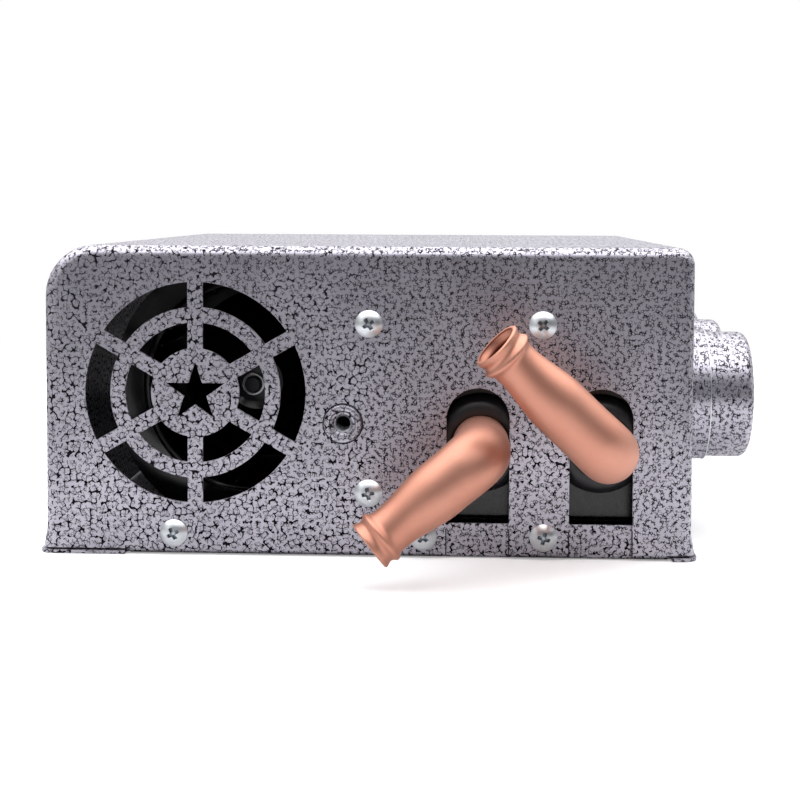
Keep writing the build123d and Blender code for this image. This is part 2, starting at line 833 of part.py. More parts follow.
for name, side in sides.items():
    with BuildPart() as blower_housing:
        outside = scroll_outline(side * body_deep, scroll_wall)
        extrude(outside, amount=side * (body_deep - scroll_back_deep))
        with BuildSketch(Plane.YZ.offset(bulkhead_x - scroll_wall)):
            with Locations((side * flange_middle_deep, (mouth_bottom + tongue_z) / 2)):
                Rectangle(flange_span, tongue_z - mouth_bottom + 2 * (scroll_wall + scroll_flange))
        extrude(amount=scroll_wall)
        inside = scroll_outline(side * body_deep)
        extrude(inside, amount=side * (body_deep - scroll_floor_deep), mode=Mode.SUBTRACT)
        with BuildSketch(side_plane(side * scroll_back_deep)):
            with Locations((fan_x, fan_z)):
                Circle(scroll_shaft_hole)
        extrude(amount=-side * scroll_wall, mode=Mode.SUBTRACT)
    blower_housing.part.label = f"blower_housing_{name}"
    export_step(blower_housing.part, f"parts/blower_housing_{name}.step")

    with BuildPart() as blower_cover:
        extrude(scroll_outline(side * body_deep, scroll_wall), amount=-side * scroll_wall)
        with BuildSketch(side_plane(side * body_deep)):
            with Locations((fan_x, fan_z)):
                Circle(inlet_radius + inlet_lip)
        extrude(amount=-side * (scroll_wall + inlet_lip))
        lip_face = faces().sort_by(Axis.Y)[0 if side == near else -1]
        chamfer(lip_face.edges(), inlet_bevel)
        with BuildSketch(side_plane(side * body_deep)):
            with Locations((fan_x, fan_z)):
                Circle(inlet_radius)
        extrude(amount=-side * (scroll_wall + inlet_lip), mode=Mode.SUBTRACT)
    blower_cover.part.label = f"blower_cover_{name}"
    export_step(blower_cover.part, f"parts/blower_cover_{name}.step")

# Bulkhead: a wall with a window for each blower, held by tabs bent back along the casing's sides
bulkhead_half_width = inner_half_width - sheet - bulkhead_gap
with BuildPart() as bulkhead:
    with BuildSketch(Plane.YZ.offset(bulkhead_x)):
        with Locations((0, (sheet + inner_top - bulkhead_gap) / 2)):
            Rectangle(2 * bulkhead_half_width, inner_top - bulkhead_gap - sheet)
        fillet(vertices().group_by(Axis.Y)[-1], side_edge_radius)
        with Locations(*[(0, z) for z in bulkhead_screw_z]):
            Rectangle(2 * inner_half_width, tab_height)
        for side in sides.values():
            with Locations((side * (body_deep + scroll_floor_deep) / 2, (mouth_bottom + tongue_z) / 2)):
                Rectangle(body_deep - scroll_floor_deep, tongue_z - mouth_bottom, mode=Mode.SUBTRACT)
    extrude(amount=sheet)
    tab_front = bulkhead_x + sheet
    for side in sides.values():
        with BuildSketch(side_plane(side * inner_half_width)):
            with Locations(*[(tab_front - tab_reach / 2, z) for z in bulkhead_screw_z]):
                Rectangle(tab_reach, tab_height)
            with Locations(*[(bulkhead_screw_x, z) for z in bulkhead_screw_z]):
                Circle(screw_radius, mode=Mode.SUBTRACT)
        extrude(amount=side * sheet)
bulkhead.part.label = "bulkhead"
export_step(bulkhead.part, "parts/bulkhead.step")

# Blower wheels: forward-curved blades between a back disc and a front ring, on a slotted, dished cone
hub_end_deep = half_width - hub_depth
dish_back = wheel_back_deep
dish_front = wheel_back_deep + dish_height
blade_middle = wheel_radius - blade_length / 2
for name, side in sides.items():
    wheel_plane = Plane(origin=(fan_x, 0, fan_z), x_dir=(0, side, 0), z_dir=(1, 0, 0))
    with BuildSketch() as blade:
        with BuildLine():
            bend = ((-blade_length / 2, 0), (0, blade_lean / 2 - blade_bow), (blade_length / 2, blade_lean))
            Polyline(*bend, *[(x, y + blade_sheet) for x, y in reversed(bend)], close=True)
        make_face()
    with BuildPart() as blower_wheel:
        turned(
            wheel_plane,
            fan_axis(),
            (
                (dish_back, dish_radius - dish_sheet),
                (dish_back, dish_radius),
                (dish_front, dish_top_radius),
                (dish_front, 0),
                (dish_front - dish_sheet, 0),
                (dish_front - dish_sheet, dish_top_radius - dish_sheet),
            ),
        )
        with BuildSketch(side_plane(side * wheel_back_deep)):
            with Locations((fan_x, fan_z)):
                Circle(wheel_radius)
                Circle(dish_radius - dish_sheet, mode=Mode.SUBTRACT)
        extrude(amount=-side * wheel_back)
        with BuildSketch(side_plane(side * wheel_back_deep)):
            with Locations((fan_x, fan_z)):
                with PolarLocations(slot_ring_radius, dish_slot_count, start_angle=dish_slot_start):
                    SlotOverall(dish_slot_length, dish_slot_width)
        extrude(amount=-side * 2 * dish_height, mode=Mode.SUBTRACT)
        with BuildSketch(side_plane(side * wheel_back_deep)):
            with Locations((fan_x, fan_z)):
                with PolarLocations(blade_middle, blade_count):
                    add(blade.sketch)
        extrude(amount=-side * wheel_width)
        with BuildSketch(side_plane(side * wheel_front_deep)):
            with Locations((fan_x, fan_z)):
                Circle(wheel_radius)
                Circle(wheel_radius - wheel_ring, mode=Mode.SUBTRACT)
        extrude(amount=side * wheel_ring)
        with BuildSketch(side_plane(side * hub_end_deep)):
            with Locations((fan_x, fan_z)):
                Circle(hub_radius)
        extrude(amount=side * hub_length)
        with BuildSketch(side_plane(side * hub_end_deep)):
            with Locations((fan_x, fan_z)):
                Circle(shaft_radius)
        extrude(amount=side * 2 * dish_height, mode=Mode.SUBTRACT)
    blower_wheel.part.label = f"blower_wheel_{name}"
    export_step(blower_wheel.part, f"parts/blower_wheel_{name}.step")

# Clips that keep the wheels on the shaft
with BuildPart() as hub_clips:
    for side in sides.values():
        with BuildSketch(side_plane(side * hub_end_deep)):
            with Locations((fan_x, fan_z)):
                Circle(clip_radius)
                Circle(shaft_radius, mode=Mode.SUBTRACT)
        extrude(amount=-side * clip_thickness)
hub_clips.part.label = "hub_clips"
export_step(hub_clips.part, "parts/hub_clips.step")

with BuildPart() as motor_shaft:
    with BuildSketch(side_plane(hub_end_deep + clip_thickness + shaft_end)):
        with Locations((fan_x, fan_z)):
            Circle(shaft_radius)
    extrude(amount=2 * (hub_end_deep + clip_thickness + shaft_end))
    chamfer(edges(), shaft_radius / 6)
motor_shaft.part.label = "motor_shaft"
export_step(motor_shaft.part, "parts/motor_shaft.step")

# Motor armature: a slotted stack with windings at both ends and a commutator at the far end
magnet_inner_radius = motor_radius - motor_wall - magnet_thickness
armature_radius = magnet_inner_radius - armature_gap
armature_end = armature_length / 2
winding_end = armature_end + winding_length
winding_radius = armature_radius - armature_slot_depth / 3
shaft_plane = Plane(origin=(fan_x, 0, fan_z), x_dir=(0, 1, 0), z_dir=(1, 0, 0))
with BuildPart() as armature_stack:
    with BuildSketch(side_plane(armature_end)):
        with Locations((fan_x, fan_z)):
            Circle(armature_radius)
            Circle(shaft_radius, mode=Mode.SUBTRACT)
            with PolarLocations(armature_radius, armature_slots):
                Rectangle(2 * armature_slot_depth, armature_slot_width, mode=Mode.SUBTRACT)
    extrude(amount=armature_length)
armature_stack.part.label = "armature_stack"
export_step(armature_stack.part, "parts/armature_stack.step")

with BuildPart() as armature_windings:
    for side in sides.values():
        turned(
            shaft_plane,
            fan_axis(),
            (
                (side * armature_end, commutator_radius),
                (side * armature_end, winding_radius),
                (side * (winding_end - winding_length / 3), winding_radius),
                (side * winding_end, winding_radius - winding_length / 3),
                (side * winding_end, commutator_radius),
            ),
        )
armature_windings.part.label = "armature_windings"
export_step(armature_windings.part, "parts/armature_windings.step")

with BuildPart() as commutator:
    turned(
        shaft_plane,
        fan_axis(),
        (
            (armature_end, shaft_radius),
            (armature_end, commutator_radius),
            (winding_end + commutator_length, commutator_radius),
            (winding_end + commutator_length, shaft_radius),
        ),
    )
commutator.part.label = "commutator"
export_step(commutator.part, "parts/commutator.step")

# Motor case: a tube closed by two caps whose bosses hold the bushes, with magnets and brush gear inside
cap_inner_deep = motor_length / 2 - motor_cap
boss_radius = bush_radius + bush_boss_wall
boss_start = cap_inner_deep - bush_length / 2
with BuildPart() as motor_case:
    with BuildSketch(side_plane(motor_length / 2)):
        with Locations((fan_x, fan_z)):
            Circle(motor_radius)
            Circle(motor_radius - motor_wall, mode=Mode.SUBTRACT)
    extrude(amount=motor_length)
motor_case.part.label = "motor_case"
export_step(motor_case.part, "parts/motor_case.step")

with BuildPart() as motor_caps:
    for side in sides.values():
        turned(
            shaft_plane,
            fan_axis(),
            (
                (side * boss_start, bush_radius),
                (side * boss_start, boss_radius),
                (side * cap_inner_deep, boss_radius),
                (side * cap_inner_deep, motor_radius - motor_wall),
                (side * motor_length / 2, motor_radius - motor_wall),
                (side * motor_length / 2, boss_radius),
                (side * (boss_start + bush_length), boss_radius),
                (side * (boss_start + bush_length), bush_radius),
            ),
        )
motor_caps.part.label = "motor_caps"
export_step(motor_caps.part, "parts/motor_caps.step")

with BuildPart() as motor_bushes:
    for side in sides.values():
        turned(
            shaft_plane,
            fan_axis(),
            (
                (side * boss_start, shaft_radius + bush_gap),
                (side * boss_start, bush_radius),
                (side * (boss_start + bush_length), bush_radius),
                (side * (boss_start + bush_length), shaft_radius + bush_gap),
            ),
        )
motor_bushes.part.label = "motor_bushes"
export_step(motor_bushes.part, "parts/motor_bushes.step")

with BuildPart() as motor_magnets:
    with BuildSketch(side_plane(magnet_length / 2)):
        with Locations((fan_x, fan_z)):
            Circle(motor_radius - motor_wall)
            Circle(magnet_inner_radius, mode=Mode.SUBTRACT)
            Rectangle(2 * motor_radius, magnet_spacing, mode=Mode.SUBTRACT)
    extrude(amount=magnet_length)
motor_magnets.part.label = "motor_magnets"
export_step(motor_magnets.part, "parts/motor_magnets.step")

# Brush card: a ring on the far cap with a box for each brush
brush_y = winding_end + commutator_length / 2
box_start = commutator_radius + brush_gap + brush_box_wall
box_end = commutator_radius + brush_gap + brush_length
box_low_y = brush_y - brush_width / 2 - brush_box_wall
card_low_y = cap_inner_deep - card_sheet
with BuildPart() as brush_card:
    with BuildSketch(side_plane(cap_inner_deep)):
        with Locations((fan_x, fan_z)):
            Circle(motor_radius - motor_wall - brush_box_wall)
            Circle(boss_radius + brush_box_wall, mode=Mode.SUBTRACT)
    extrude(amount=card_sheet)
    with BuildSketch(side_plane(card_low_y)):
        for end in (-1, 1):
            with Locations((fan_x + end * (box_start + box_end) / 2, fan_z)):
                Rectangle(box_end - box_start, brush_width + 2 * brush_box_wall)
    extrude(amount=card_low_y - box_low_y)
    with BuildSketch(side_plane(brush_y + brush_width / 2)):
        with Locations((fan_x, fan_z)):
            Rectangle(2 * box_end, brush_width)
    extrude(amount=brush_width, mode=Mode.SUBTRACT)
brush_card.part.label = "brush_card"
export_step(brush_card.part, "parts/brush_card.step")

with BuildPart() as carbon_brushes:
    with BuildSketch(side_plane(brush_y + brush_width / 2)):
        for end in (-1, 1):
            with Locations((fan_x + end * (commutator_radius + brush_gap + brush_length / 2), fan_z)):
                Rectangle(brush_length, brush_width)
    extrude(amount=brush_width)
carbon_brushes.part.label = "carbon_brushes"
export_step(carbon_brushes.part, "parts/carbon_brushes.step")

# Motor cradle: a folded sheet with two upright saddles under the motor
cradle_top = fan_z - cradle_wrap
cradle_width = 2 * (motor_radius - cradle_gap)
with BuildPart() as motor_cradle:
    with BuildSketch(Plane.XY.offset(sheet)):
        with Locations((fan_x, 0)):
            Rectangle(cradle_width, cradle_length)
    extrude(amount=cradle_sheet)
    for side in sides.values():
        with BuildSketch(side_plane(side * cradle_length / 2)):
            with Locations((fan_x, (sheet + cradle_top) / 2)):
                Rectangle(cradle_width, cradle_top - sheet)
            with Locations((fan_x, fan_z)):
                Circle(motor_radius, mode=Mode.SUBTRACT)
        extrude(amount=side * cradle_sheet)
motor_cradle.part.label = "motor_cradle"
export_step(motor_cradle.part, "parts/motor_cradle.step")

# Strap over the motor, with a foot on each side
strap_radius = motor_radius + strap_sheet
foot_middle = motor_radius + (strap_sheet + strap_foot) / 2
with BuildPart() as motor_strap:
    with BuildSketch(side_plane(strap_width / 2)):
        for reach, mode in ((strap_radius, Mode.ADD), (motor_radius, Mode.SUBTRACT)):
            with Locations((fan_x, fan_z)):
                Circle(reach, mode=mode)
            with Locations((fan_x, (sheet + fan_z) / 2)):
                Rectangle(2 * reach, fan_z - sheet, mode=mode)
        for end in (-1, 1):
            with Locations((fan_x + end * foot_middle, sheet + strap_sheet / 2)):
                Rectangle(strap_foot + strap_sheet, strap_sheet)
    extrude(amount=strap_width)
    with BuildSketch(Plane.XY.offset(sheet)):
        for end in (-1, 1):
            with Locations((fan_x + end * (strap_radius + strap_foot / 2), 0)):
                Circle(strap_screw_radius)
    extrude(amount=strap_sheet, mode=Mode.SUBTRACT)
motor_strap.part.label = "motor_strap"
export_step(motor_strap.part, "parts/motor_strap.step")

with BuildPart() as strap_screws:
    for end in (-1, 1):
        add(
            pan_screw(
                Vector(fan_x + end * (strap_radius + strap_foot / 2), 0, sheet + strap_sheet),
                Vector(0, 0, 1),
                strap_screw_radius - thread_gap,
                sheet + strap_sheet,
                strap_screw_head_radius,
                strap_screw_head_edge,
                strap_screw_head_height,
            )
        )
strap_screws.part.label = "strap_screws"
export_step(strap_screws.part, "parts/strap_screws.step")

# Cable grommet in the rear wall, for the motor's leads
cable_place = Vector(-half_length, cable_y, cable_z)
with BuildPart() as cable_grommet:
    turned(
        Plane(origin=cable_place, x_dir=(-1, 0, 0), z_dir=(0, 1, 0)),
        Axis(cable_place, (-1, 0, 0)),
        (
            (cable_grommet_lip, cable_bore_radius),
            (cable_grommet_lip, cable_grommet_radius - cable_grommet_lip / 2),
            (0, cable_grommet_radius),
            (0, cable_hole_radius),
            (-sheet, cable_hole_radius),
            (-sheet, cable_grommet_radius),
            (-sheet - cable_grommet_lip, cable_grommet_radius - cable_grommet_lip / 2),
            (-sheet - cable_grommet_lip, cable_bore_radius),
        ),
    )
cable_grommet.part.label = "cable_grommet"
export_step(cable_grommet.part, "parts/cable_grommet.step")
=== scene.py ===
import math

import bmesh
import bpy
import numpy as np
from mathutils import Matrix, Vector


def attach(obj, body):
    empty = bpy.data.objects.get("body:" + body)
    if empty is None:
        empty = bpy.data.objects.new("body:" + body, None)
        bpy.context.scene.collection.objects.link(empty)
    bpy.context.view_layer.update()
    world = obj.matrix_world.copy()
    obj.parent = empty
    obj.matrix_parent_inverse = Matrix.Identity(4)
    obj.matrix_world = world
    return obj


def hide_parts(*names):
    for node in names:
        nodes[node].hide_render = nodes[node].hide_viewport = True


# Dresses the heater's solids: finished pieces over the casing, screws, rivet nuts, outlets, pipes,
# blowers and core fins, a finish for every other node, and a pale studio round them

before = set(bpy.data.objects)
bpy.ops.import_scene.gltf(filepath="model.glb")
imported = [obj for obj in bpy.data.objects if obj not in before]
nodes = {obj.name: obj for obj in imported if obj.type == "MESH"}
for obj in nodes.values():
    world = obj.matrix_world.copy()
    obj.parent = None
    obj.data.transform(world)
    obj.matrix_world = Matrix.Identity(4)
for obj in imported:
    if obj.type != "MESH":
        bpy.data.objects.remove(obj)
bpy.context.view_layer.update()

# Sizes are in millimetres, as on the drawing, and become metres where a mesh is made; angles are
# in degrees
MM = 0.001

# Camera, at the photograph's viewing angle
camera_place = (36.6, -670.0, 123.7)
camera_turned_left = 2.60
camera_pitched_down = 3.02
camera_roll = 0.26
lens_mm = 70.18
frame_shift = -0.1377

# Casing and its fixings
half_width = 124.0
half_length = 115.0
sheet = 1.2
screw_head_radius = 4.9
screw_head_height = 2.6
screw_edge = 0.5
screw_dome_power = 2.4
screw_shank_radius = 2.45
screw_shank_length = 6.5
screw_pitch = 0.8
screw_thread_depth = 0.35
screw_plain_length = 1.3
cross_reach = 2.3
cross_half_width = 0.62
cross_depth = 1.3
cross_end_slope = 0.7
cross_side_slope = 0.16
base_screw_x = (-68.4, 20.3, 62.8)
base_screw_z = 7.7
side_screw_places = ((0.9, 22.8), (0.9, 82.8), (62.0, 82.8))
nut_x, nut_z = -8.2, 47.4
nut_hole_radius = 2.65
nut_mouth_radius = 4.1
nut_body_radius = 4.5
nut_flange_radius = 6.9
nut_flange = 1.6
nut_length = 14.0
nut_pitch = 1.0
nut_thread_depth = 0.45
nut_shadow_ring_width = 0.35

# Air outlets
outlet_y = (-66.6, 0.0, 66.6)
outlet_names = ("near", "middle", "far")
outlet_z = 52.6
drum_front = 142.2
drum_radius = 24.0
drum_wall = 1.0
drum_rim_radius = 3.5
drum_lip = 2.5
drum_back = 111.2
sleeve_gap = 0.3
sleeve_wall = 0.7
sleeve_inner_radius = drum_radius + sleeve_gap
sleeve_outer_radius = sleeve_inner_radius + sleeve_wall
sleeve_front = 126.0
sleeve_back = 112.8
sleeve_flange_radius = 31.0
louvre_depth = 9.0
louvre_count = 5
louvre_pitch = 8.0
louvre_angle = 35.0
louvre_half_thickness = 0.65
louvre_setback = 1.0
louvre_ring = 0.8

# Water pipes
pipe_names = ("outlet_pipe", "inlet_pipe")
pipe_x = (40.5, 82.8)
slot_x = (39.5, 82.8)
slot_half_width = 11.1
slot_low = 10.5
seam_shadow_low = 1.2
seam_shadow_half_width = 0.18
pipe_z = 43.0
pipe_radius = 9.9
pipe_wall = 1.0
pipe_inner_y = -112.0
pipe_corner_y = -162.9
pipe_rise = 3.5
pipe_bend_radius = 11.0
pipe_turn = 80.0
pipe_leg_angle = (218.7, 135.9)
pipe_leg_length = (47.1, 53.9)
hose_neck_radius = 7.75
hose_bead_radius = 9.2
hose_lip_radius = 8.7
pipe_cone = 18.0
neck_from_end = 9.0
bead_from_end = 5.0
bead_spread = 1.45
pipe_ovalling = 0.05
grommet_radius = 17.5
grommet_height = 6.5
grommet_bevel = 3.0
tank_face_y = -115.0

# Blowers
fan_x, fan_z = -42.5, 59.0
hub_end_deep = 104.0
clip_radius = 4.1
clip_thickness = 1.4
shaft_radius = 3.0

# Heater core
core_rear_x = 26.0
core_front_x = 98.0
header_y = 100.0
core_bottom = 11.4
core_height = 87.2
tube_rows = 6
tube_height = 2.4
core_side_sheet = 1.2
fin_pitch = 2.4
fin_sheet = 0.12

# Crackle coat on the face: cells whose corners open as black stars, small cells that thin cracks
# part, how far a cell's edge wanders, and the widths of the cracks
star_cell = 2.0
small_cell = 0.95
cell_wobble = 0.55
crack_soft_edge = 0.035
small_crack_reach = 0.15

# An edge of a mesh that turns by more than this many degrees stays sharp
sharp_angle = 38.0

# Points round a screw or a threaded hole
round_steps = 96


# Camera
def photograph_camera():
    """Right, up and back axes of a camera turned left about Z, pitched down and rolled."""
    turn, pitch, roll = (
        math.radians(a) for a in (camera_turned_left, camera_pitched_down, camera_roll)
    )
    ahead = Vector(
        (-math.sin(turn) * math.cos(pitch), math.cos(turn) * math.cos(pitch), -math.sin(pitch))
    )
    level = Vector((math.cos(turn), math.sin(turn), 0))
    upright = level.cross(ahead)
    right = math.cos(roll) * level + math.sin(roll) * upright
    up = math.cos(roll) * upright - math.sin(roll) * level
    data = bpy.data.cameras.new("photograph_camera")
    data.lens = lens_mm
    data.sensor_width = 36.0
    data.shift_y = frame_shift
    data.clip_start, data.clip_end = 0.01, 50.0
    camera = bpy.data.objects.new("photograph_camera", data)
    camera.matrix_world = Matrix.Translation(Vector(camera_place) * MM) @ Matrix(
        (right, up, -ahead)
    ).transposed().to_4x4()
    bpy.context.scene.collection.objects.link(camera)
    bpy.context.scene.camera = camera


photograph_camera()


# Materials
def linear(colour):
    """An sRGB hex colour as linear red, green, blue and 1."""
    parts = [int(colour[i : i + 2], 16) / 255 for i in (1, 3, 5)]
    return (*[c / 12.92 if c <= 0.04045 else ((c + 0.055) / 1.055) ** 2.4 for c in parts], 1.0)


def add(tree, kind, inputs=None, **settings):
    """Adds a node, sets its settings, and gives each named or numbered input a value or a link."""
    made = tree.nodes.new(kind)
    for name, value in settings.items():
        setattr(made, name, value)
    for socket, value in (inputs or {}).items():
        if isinstance(value, bpy.types.NodeSocket):
            tree.links.new(value, made.inputs[socket])
        else:
            made.inputs[socket].default_value = value
    return made


def per_metre(size_mm):
    """The scale at which a texture repeats about once in size_mm."""
    return 1 / (size_mm * MM)


def start_material(name, **sockets):
    """A new material with one Principled shader, and the Object coordinates its patterns read."""
    made = bpy.data.materials.new(name)
    made.use_nodes = True
    tree = made.node_tree
    tree.nodes.clear()
    shader = add(tree, "ShaderNodeBsdfPrincipled", sockets)
    add(tree, "ShaderNodeOutputMaterial", {"Surface": shader.outputs[0]})
    place = add(tree, "ShaderNodeTexCoord").outputs["Object"]
    return made, tree, shader, place


def finish_shader(tree, shader, colour, roughness, height, depth_mm):
    """Links a pattern's colour, roughness and height to the shader; height bumps by depth_mm."""
    bump = add(
        tree, "ShaderNodeBump", {"Height": height, "Distance": depth_mm * MM, "Strength": 1.0}
    )
    tree.links.new(colour, shader.inputs["Base Color"])
    tree.links.new(roughness, shader.inputs["Roughness"])
    tree.links.new(bump.outputs[0], shader.inputs["Normal"])


def face_plane(tree, place):
    """The two coordinates that lie along a face, as X and Y of one vector: where the face looks
    along X they are Y and Z, where it looks along Z they are X and Y, and elsewhere X and Z."""
    normal = add(tree, "ShaderNodeTexCoord").outputs["Normal"]
    size = add(tree, "ShaderNodeVectorMath", {0: normal}, operation="ABSOLUTE")
    away = add(tree, "ShaderNodeSeparateXYZ", {0: size.outputs[0]})
    along = add(tree, "ShaderNodeSeparateXYZ", {0: place})
    picked = []
    for axis, others in (("X", "YZ"), ("Z", "XY")):
        larger = add(
            tree,
            "ShaderNodeMath",
            {0: away.outputs[others[0]], 1: away.outputs[others[1]]},
            operation="MAXIMUM",
        )
        looks = add(
            tree,
            "ShaderNodeMath",
            {0: away.outputs[axis], 1: larger.outputs[0]},
            operation="GREATER_THAN",
        )
        picked.append(
            add(
                tree,
                "ShaderNodeMix",
                {0: looks.outputs[0], 2: along.outputs[axis], 3: along.outputs["Y"]},
            ).outputs[0]
        )
    return add(tree, "ShaderNodeCombineXYZ", {0: picked[0], 1: picked[1]}).outputs[0]


def crack_lines(tree, warped, cell_mm, reach_mm):
    """1 where an edge between two cells of about cell_mm is nearer than reach_mm, and 0 elsewhere,
    by the distance to that edge in two dimensions."""
    edges = add(
        tree,
        "ShaderNodeTexVoronoi",
        {"Vector": warped, "Scale": per_metre(cell_mm)},
        voronoi_dimensions="2D",
        feature="DISTANCE_TO_EDGE",
    )
    inside = add(
        tree,
        "ShaderNodeMath",
        {0: edges.outputs["Distance"], 1: -cell_mm, 2: reach_mm},
        operation="MULTIPLY_ADD",
    )
    return add(
        tree,
        "ShaderNodeMapRange",
        {
            "Value": inside.outputs[0],
            "From Min": -crack_soft_edge,
            "From Max": crack_soft_edge,
        },
        interpolation_type="SMOOTHSTEP",
    ).outputs[0]


def crackle_powder_coat():
    """Silver crackle powder coat on pressed steel: the silver film shrinks into small cells as it
    bakes. Between them run thin grey cracks, and the black coat under it opens at some corners as
    black three-armed stars. The film is thicker, and opens more, toward the bottom and the rear."""
    silver_light, silver_dark, crack_black = "#C4C1CC", "#A5A2AC", "#121016"
    made, tree, shader, place = start_material("crackle_powder_coat_on_steel", Metallic=0.85)
    plane = face_plane(tree, place)
    patterns = (("wobble", 0.9, 0.0), ("opening", 1.5, 0.0), ("patch", 26.0, 2.0))
    noise = {}
    for name, size_mm, detail in patterns:
        noise[name] = add(
            tree,
            "ShaderNodeTexNoise",
            {"Vector": plane, "Scale": per_metre(size_mm), "Detail": detail},
            noise_dimensions="2D",
        )
    offset = add(
        tree,
        "ShaderNodeVectorMath",
        {0: noise["wobble"].outputs["Color"], 1: (0.5, 0.5, 0.5)},
        operation="SUBTRACT",
    )
    warped = add(
        tree,
        "ShaderNodeVectorMath",
        {0: offset.outputs[0], 1: (cell_wobble * MM,) * 3, 2: plane},
        operation="MULTIPLY_ADD",
    ).outputs[0]
    thicker_per_metre = (-2.6, 0.0, -3.0)
    slope = add(
        tree, "ShaderNodeVectorMath", {0: place, 1: thicker_per_metre}, operation="DOT_PRODUCT"
    )
    film = add(
        tree,
        "ShaderNodeMath",
        {0: noise["patch"].outputs["Fac"], 1: slope.outputs["Value"]},
        operation="ADD",
    )
    thick = add(
        tree,
        "ShaderNodeMapRange",
        {"Value": film.outputs[0], "From Min": 0.18, "From Max": 0.48},
    ).outputs[0]

    # Black stars: the arms grow toward the corners of cells, and open only where the noise is high
    corners = add(
        tree,
        "ShaderNodeTexVoronoi",
        {"Vector": warped, "Scale": per_metre(star_cell)},
        voronoi_dimensions="2D",
        feature="F1",
    )
    widest = add(tree, "ShaderNodeMapRange", {"Value": thick, "To Min": 0.26, "To Max": 0.50})
    arms = add(
        tree,
        "ShaderNodeMapRange",
        {
            "Value": corners.outputs["Distance"],
            "From Min": 0.44,
            "From Max": 0.80,
            "To Min": 0.14,
            "To Max": widest.outputs[0],
        },
        interpolation_type="SMOOTHSTEP",
    )
    opened = add(
        tree,
        "ShaderNodeMath",
        {0: thick, 1: 0.20, 2: noise["opening"].outputs["Fac"]},
        operation="MULTIPLY_ADD",
    )
    opening = add(
        tree,
        "ShaderNodeMapRange",
        {"Value": opened.outputs[0], "From Min": 0.53, "From Max": 0.64},
        interpolation_type="SMOOTHSTEP",
    )
    reach = add(
        tree,
        "ShaderNodeMath",
        {0: arms.outputs[0], 1: opening.outputs[0], 2: -crack_soft_edge},
        operation="MULTIPLY_ADD",
    )
    stars = crack_lines(tree, warped, star_cell, reach.outputs[0])

    # Thin cracks between the small cells, wider where the noise is high and paler in thick film
    width = add(
        tree,
        "ShaderNodeMapRange",
        {
            "Value": noise["opening"].outputs["Fac"],
            "From Min": 0.36,
            "From Max": 0.64,
            "To Max": small_crack_reach,
        },
    )
    thin = crack_lines(tree, warped, small_cell, width.outputs[0])
    darkness = add(tree, "ShaderNodeMapRange", {"Value": thick, "To Min": 0.95, "To Max": 0.50})
    faint = add(tree, "ShaderNodeMath", {0: thin, 1: darkness.outputs[0]}, operation="MULTIPLY")
    crack = add(
        tree, "ShaderNodeMath", {0: faint.outputs[0], 1: stars}, operation="MAXIMUM"
    ).outputs[0]
    silver = add(
        tree,
        "ShaderNodeMix",
        {0: noise["patch"].outputs["Fac"], 6: linear(silver_dark), 7: linear(silver_light)},
        data_type="RGBA",
    )
    coat = add(
        tree,
        "ShaderNodeMix",
        {0: crack, 6: silver.outputs[2], 7: linear(crack_black)},
        data_type="RGBA",
    )
    rough = add(tree, "ShaderNodeMapRange", {"Value": crack, "To Min": 0.34, "To Max": 0.60})
    raised = add(tree, "ShaderNodeMath", {0: 1.0, 1: crack}, operation="SUBTRACT")
    finish_shader(tree, shader, coat.outputs[2], rough.outputs[0], raised.outputs[0], 0.03)
    return made


def zinc_plated_steel():
    """Bright zinc plate on pressed steel: pale, faintly blue, with a fine mottled sheen. Where the
    attribute recess is 1, in a screw's cross, its colour is darker and dull: painted shade in the
    recess."""
    made, tree, shader, place = start_material("zinc_plated_steel", Metallic=1.0)
    mottle = add(
        tree, "ShaderNodeTexNoise", {"Vector": place, "Scale": per_metre(1.2), "Detail": 3.0}
    )
    rough = add(
        tree,
        "ShaderNodeMapRange",
        {"Value": mottle.outputs["Fac"], "To Min": 0.32, "To Max": 0.46},
    )
    tint = add(
        tree,
        "ShaderNodeMix",
        {0: mottle.outputs["Fac"], 6: linear("#DDE0E2"), 7: linear("#C2C7CB")},
        data_type="RGBA",
    )
    # Painted shade: the attribute recess darkens the colour toward grey in each screw's cross
    recess = add(tree, "ShaderNodeAttribute", attribute_name="recess").outputs["Fac"]
    shaded = add(
        tree,
        "ShaderNodeMix",
        {0: recess, 6: tint.outputs[2], 7: linear("#808A92")},
        data_type="RGBA",
    )
    finish_shader(tree, shader, shaded.outputs[2], rough.outputs[0], mottle.outputs["Fac"], 0.01)
    return made


def drawn_copper():
    """Annealed copper tube, drawn and then bent: satin pink metal with soft handling marks and a
    slightly darker oxide where it was heated."""
    made, tree, shader, place = start_material("drawn_copper", Metallic=1.0)
    heat = add(
        tree, "ShaderNodeTexNoise", {"Vector": place, "Scale": per_metre(22.0), "Detail": 2.0}
    )
    marks = add(
        tree, "ShaderNodeTexNoise", {"Vector": place, "Scale": per_metre(1.5), "Detail": 3.0}
    )
    tint = add(
        tree,
        "ShaderNodeMix",
        {0: heat.outputs["Fac"], 6: linear("#BC806C"), 7: linear("#CE9A86")},
        data_type="RGBA",
    )
    rough = add(
        tree,
        "ShaderNodeMapRange",
        {"Value": marks.outputs["Fac"], "To Min": 0.46, "To Max": 0.56},
    )
    finish_shader(tree, shader, tint.outputs[2], rough.outputs[0], marks.outputs["Fac"], 0.012)
    return made


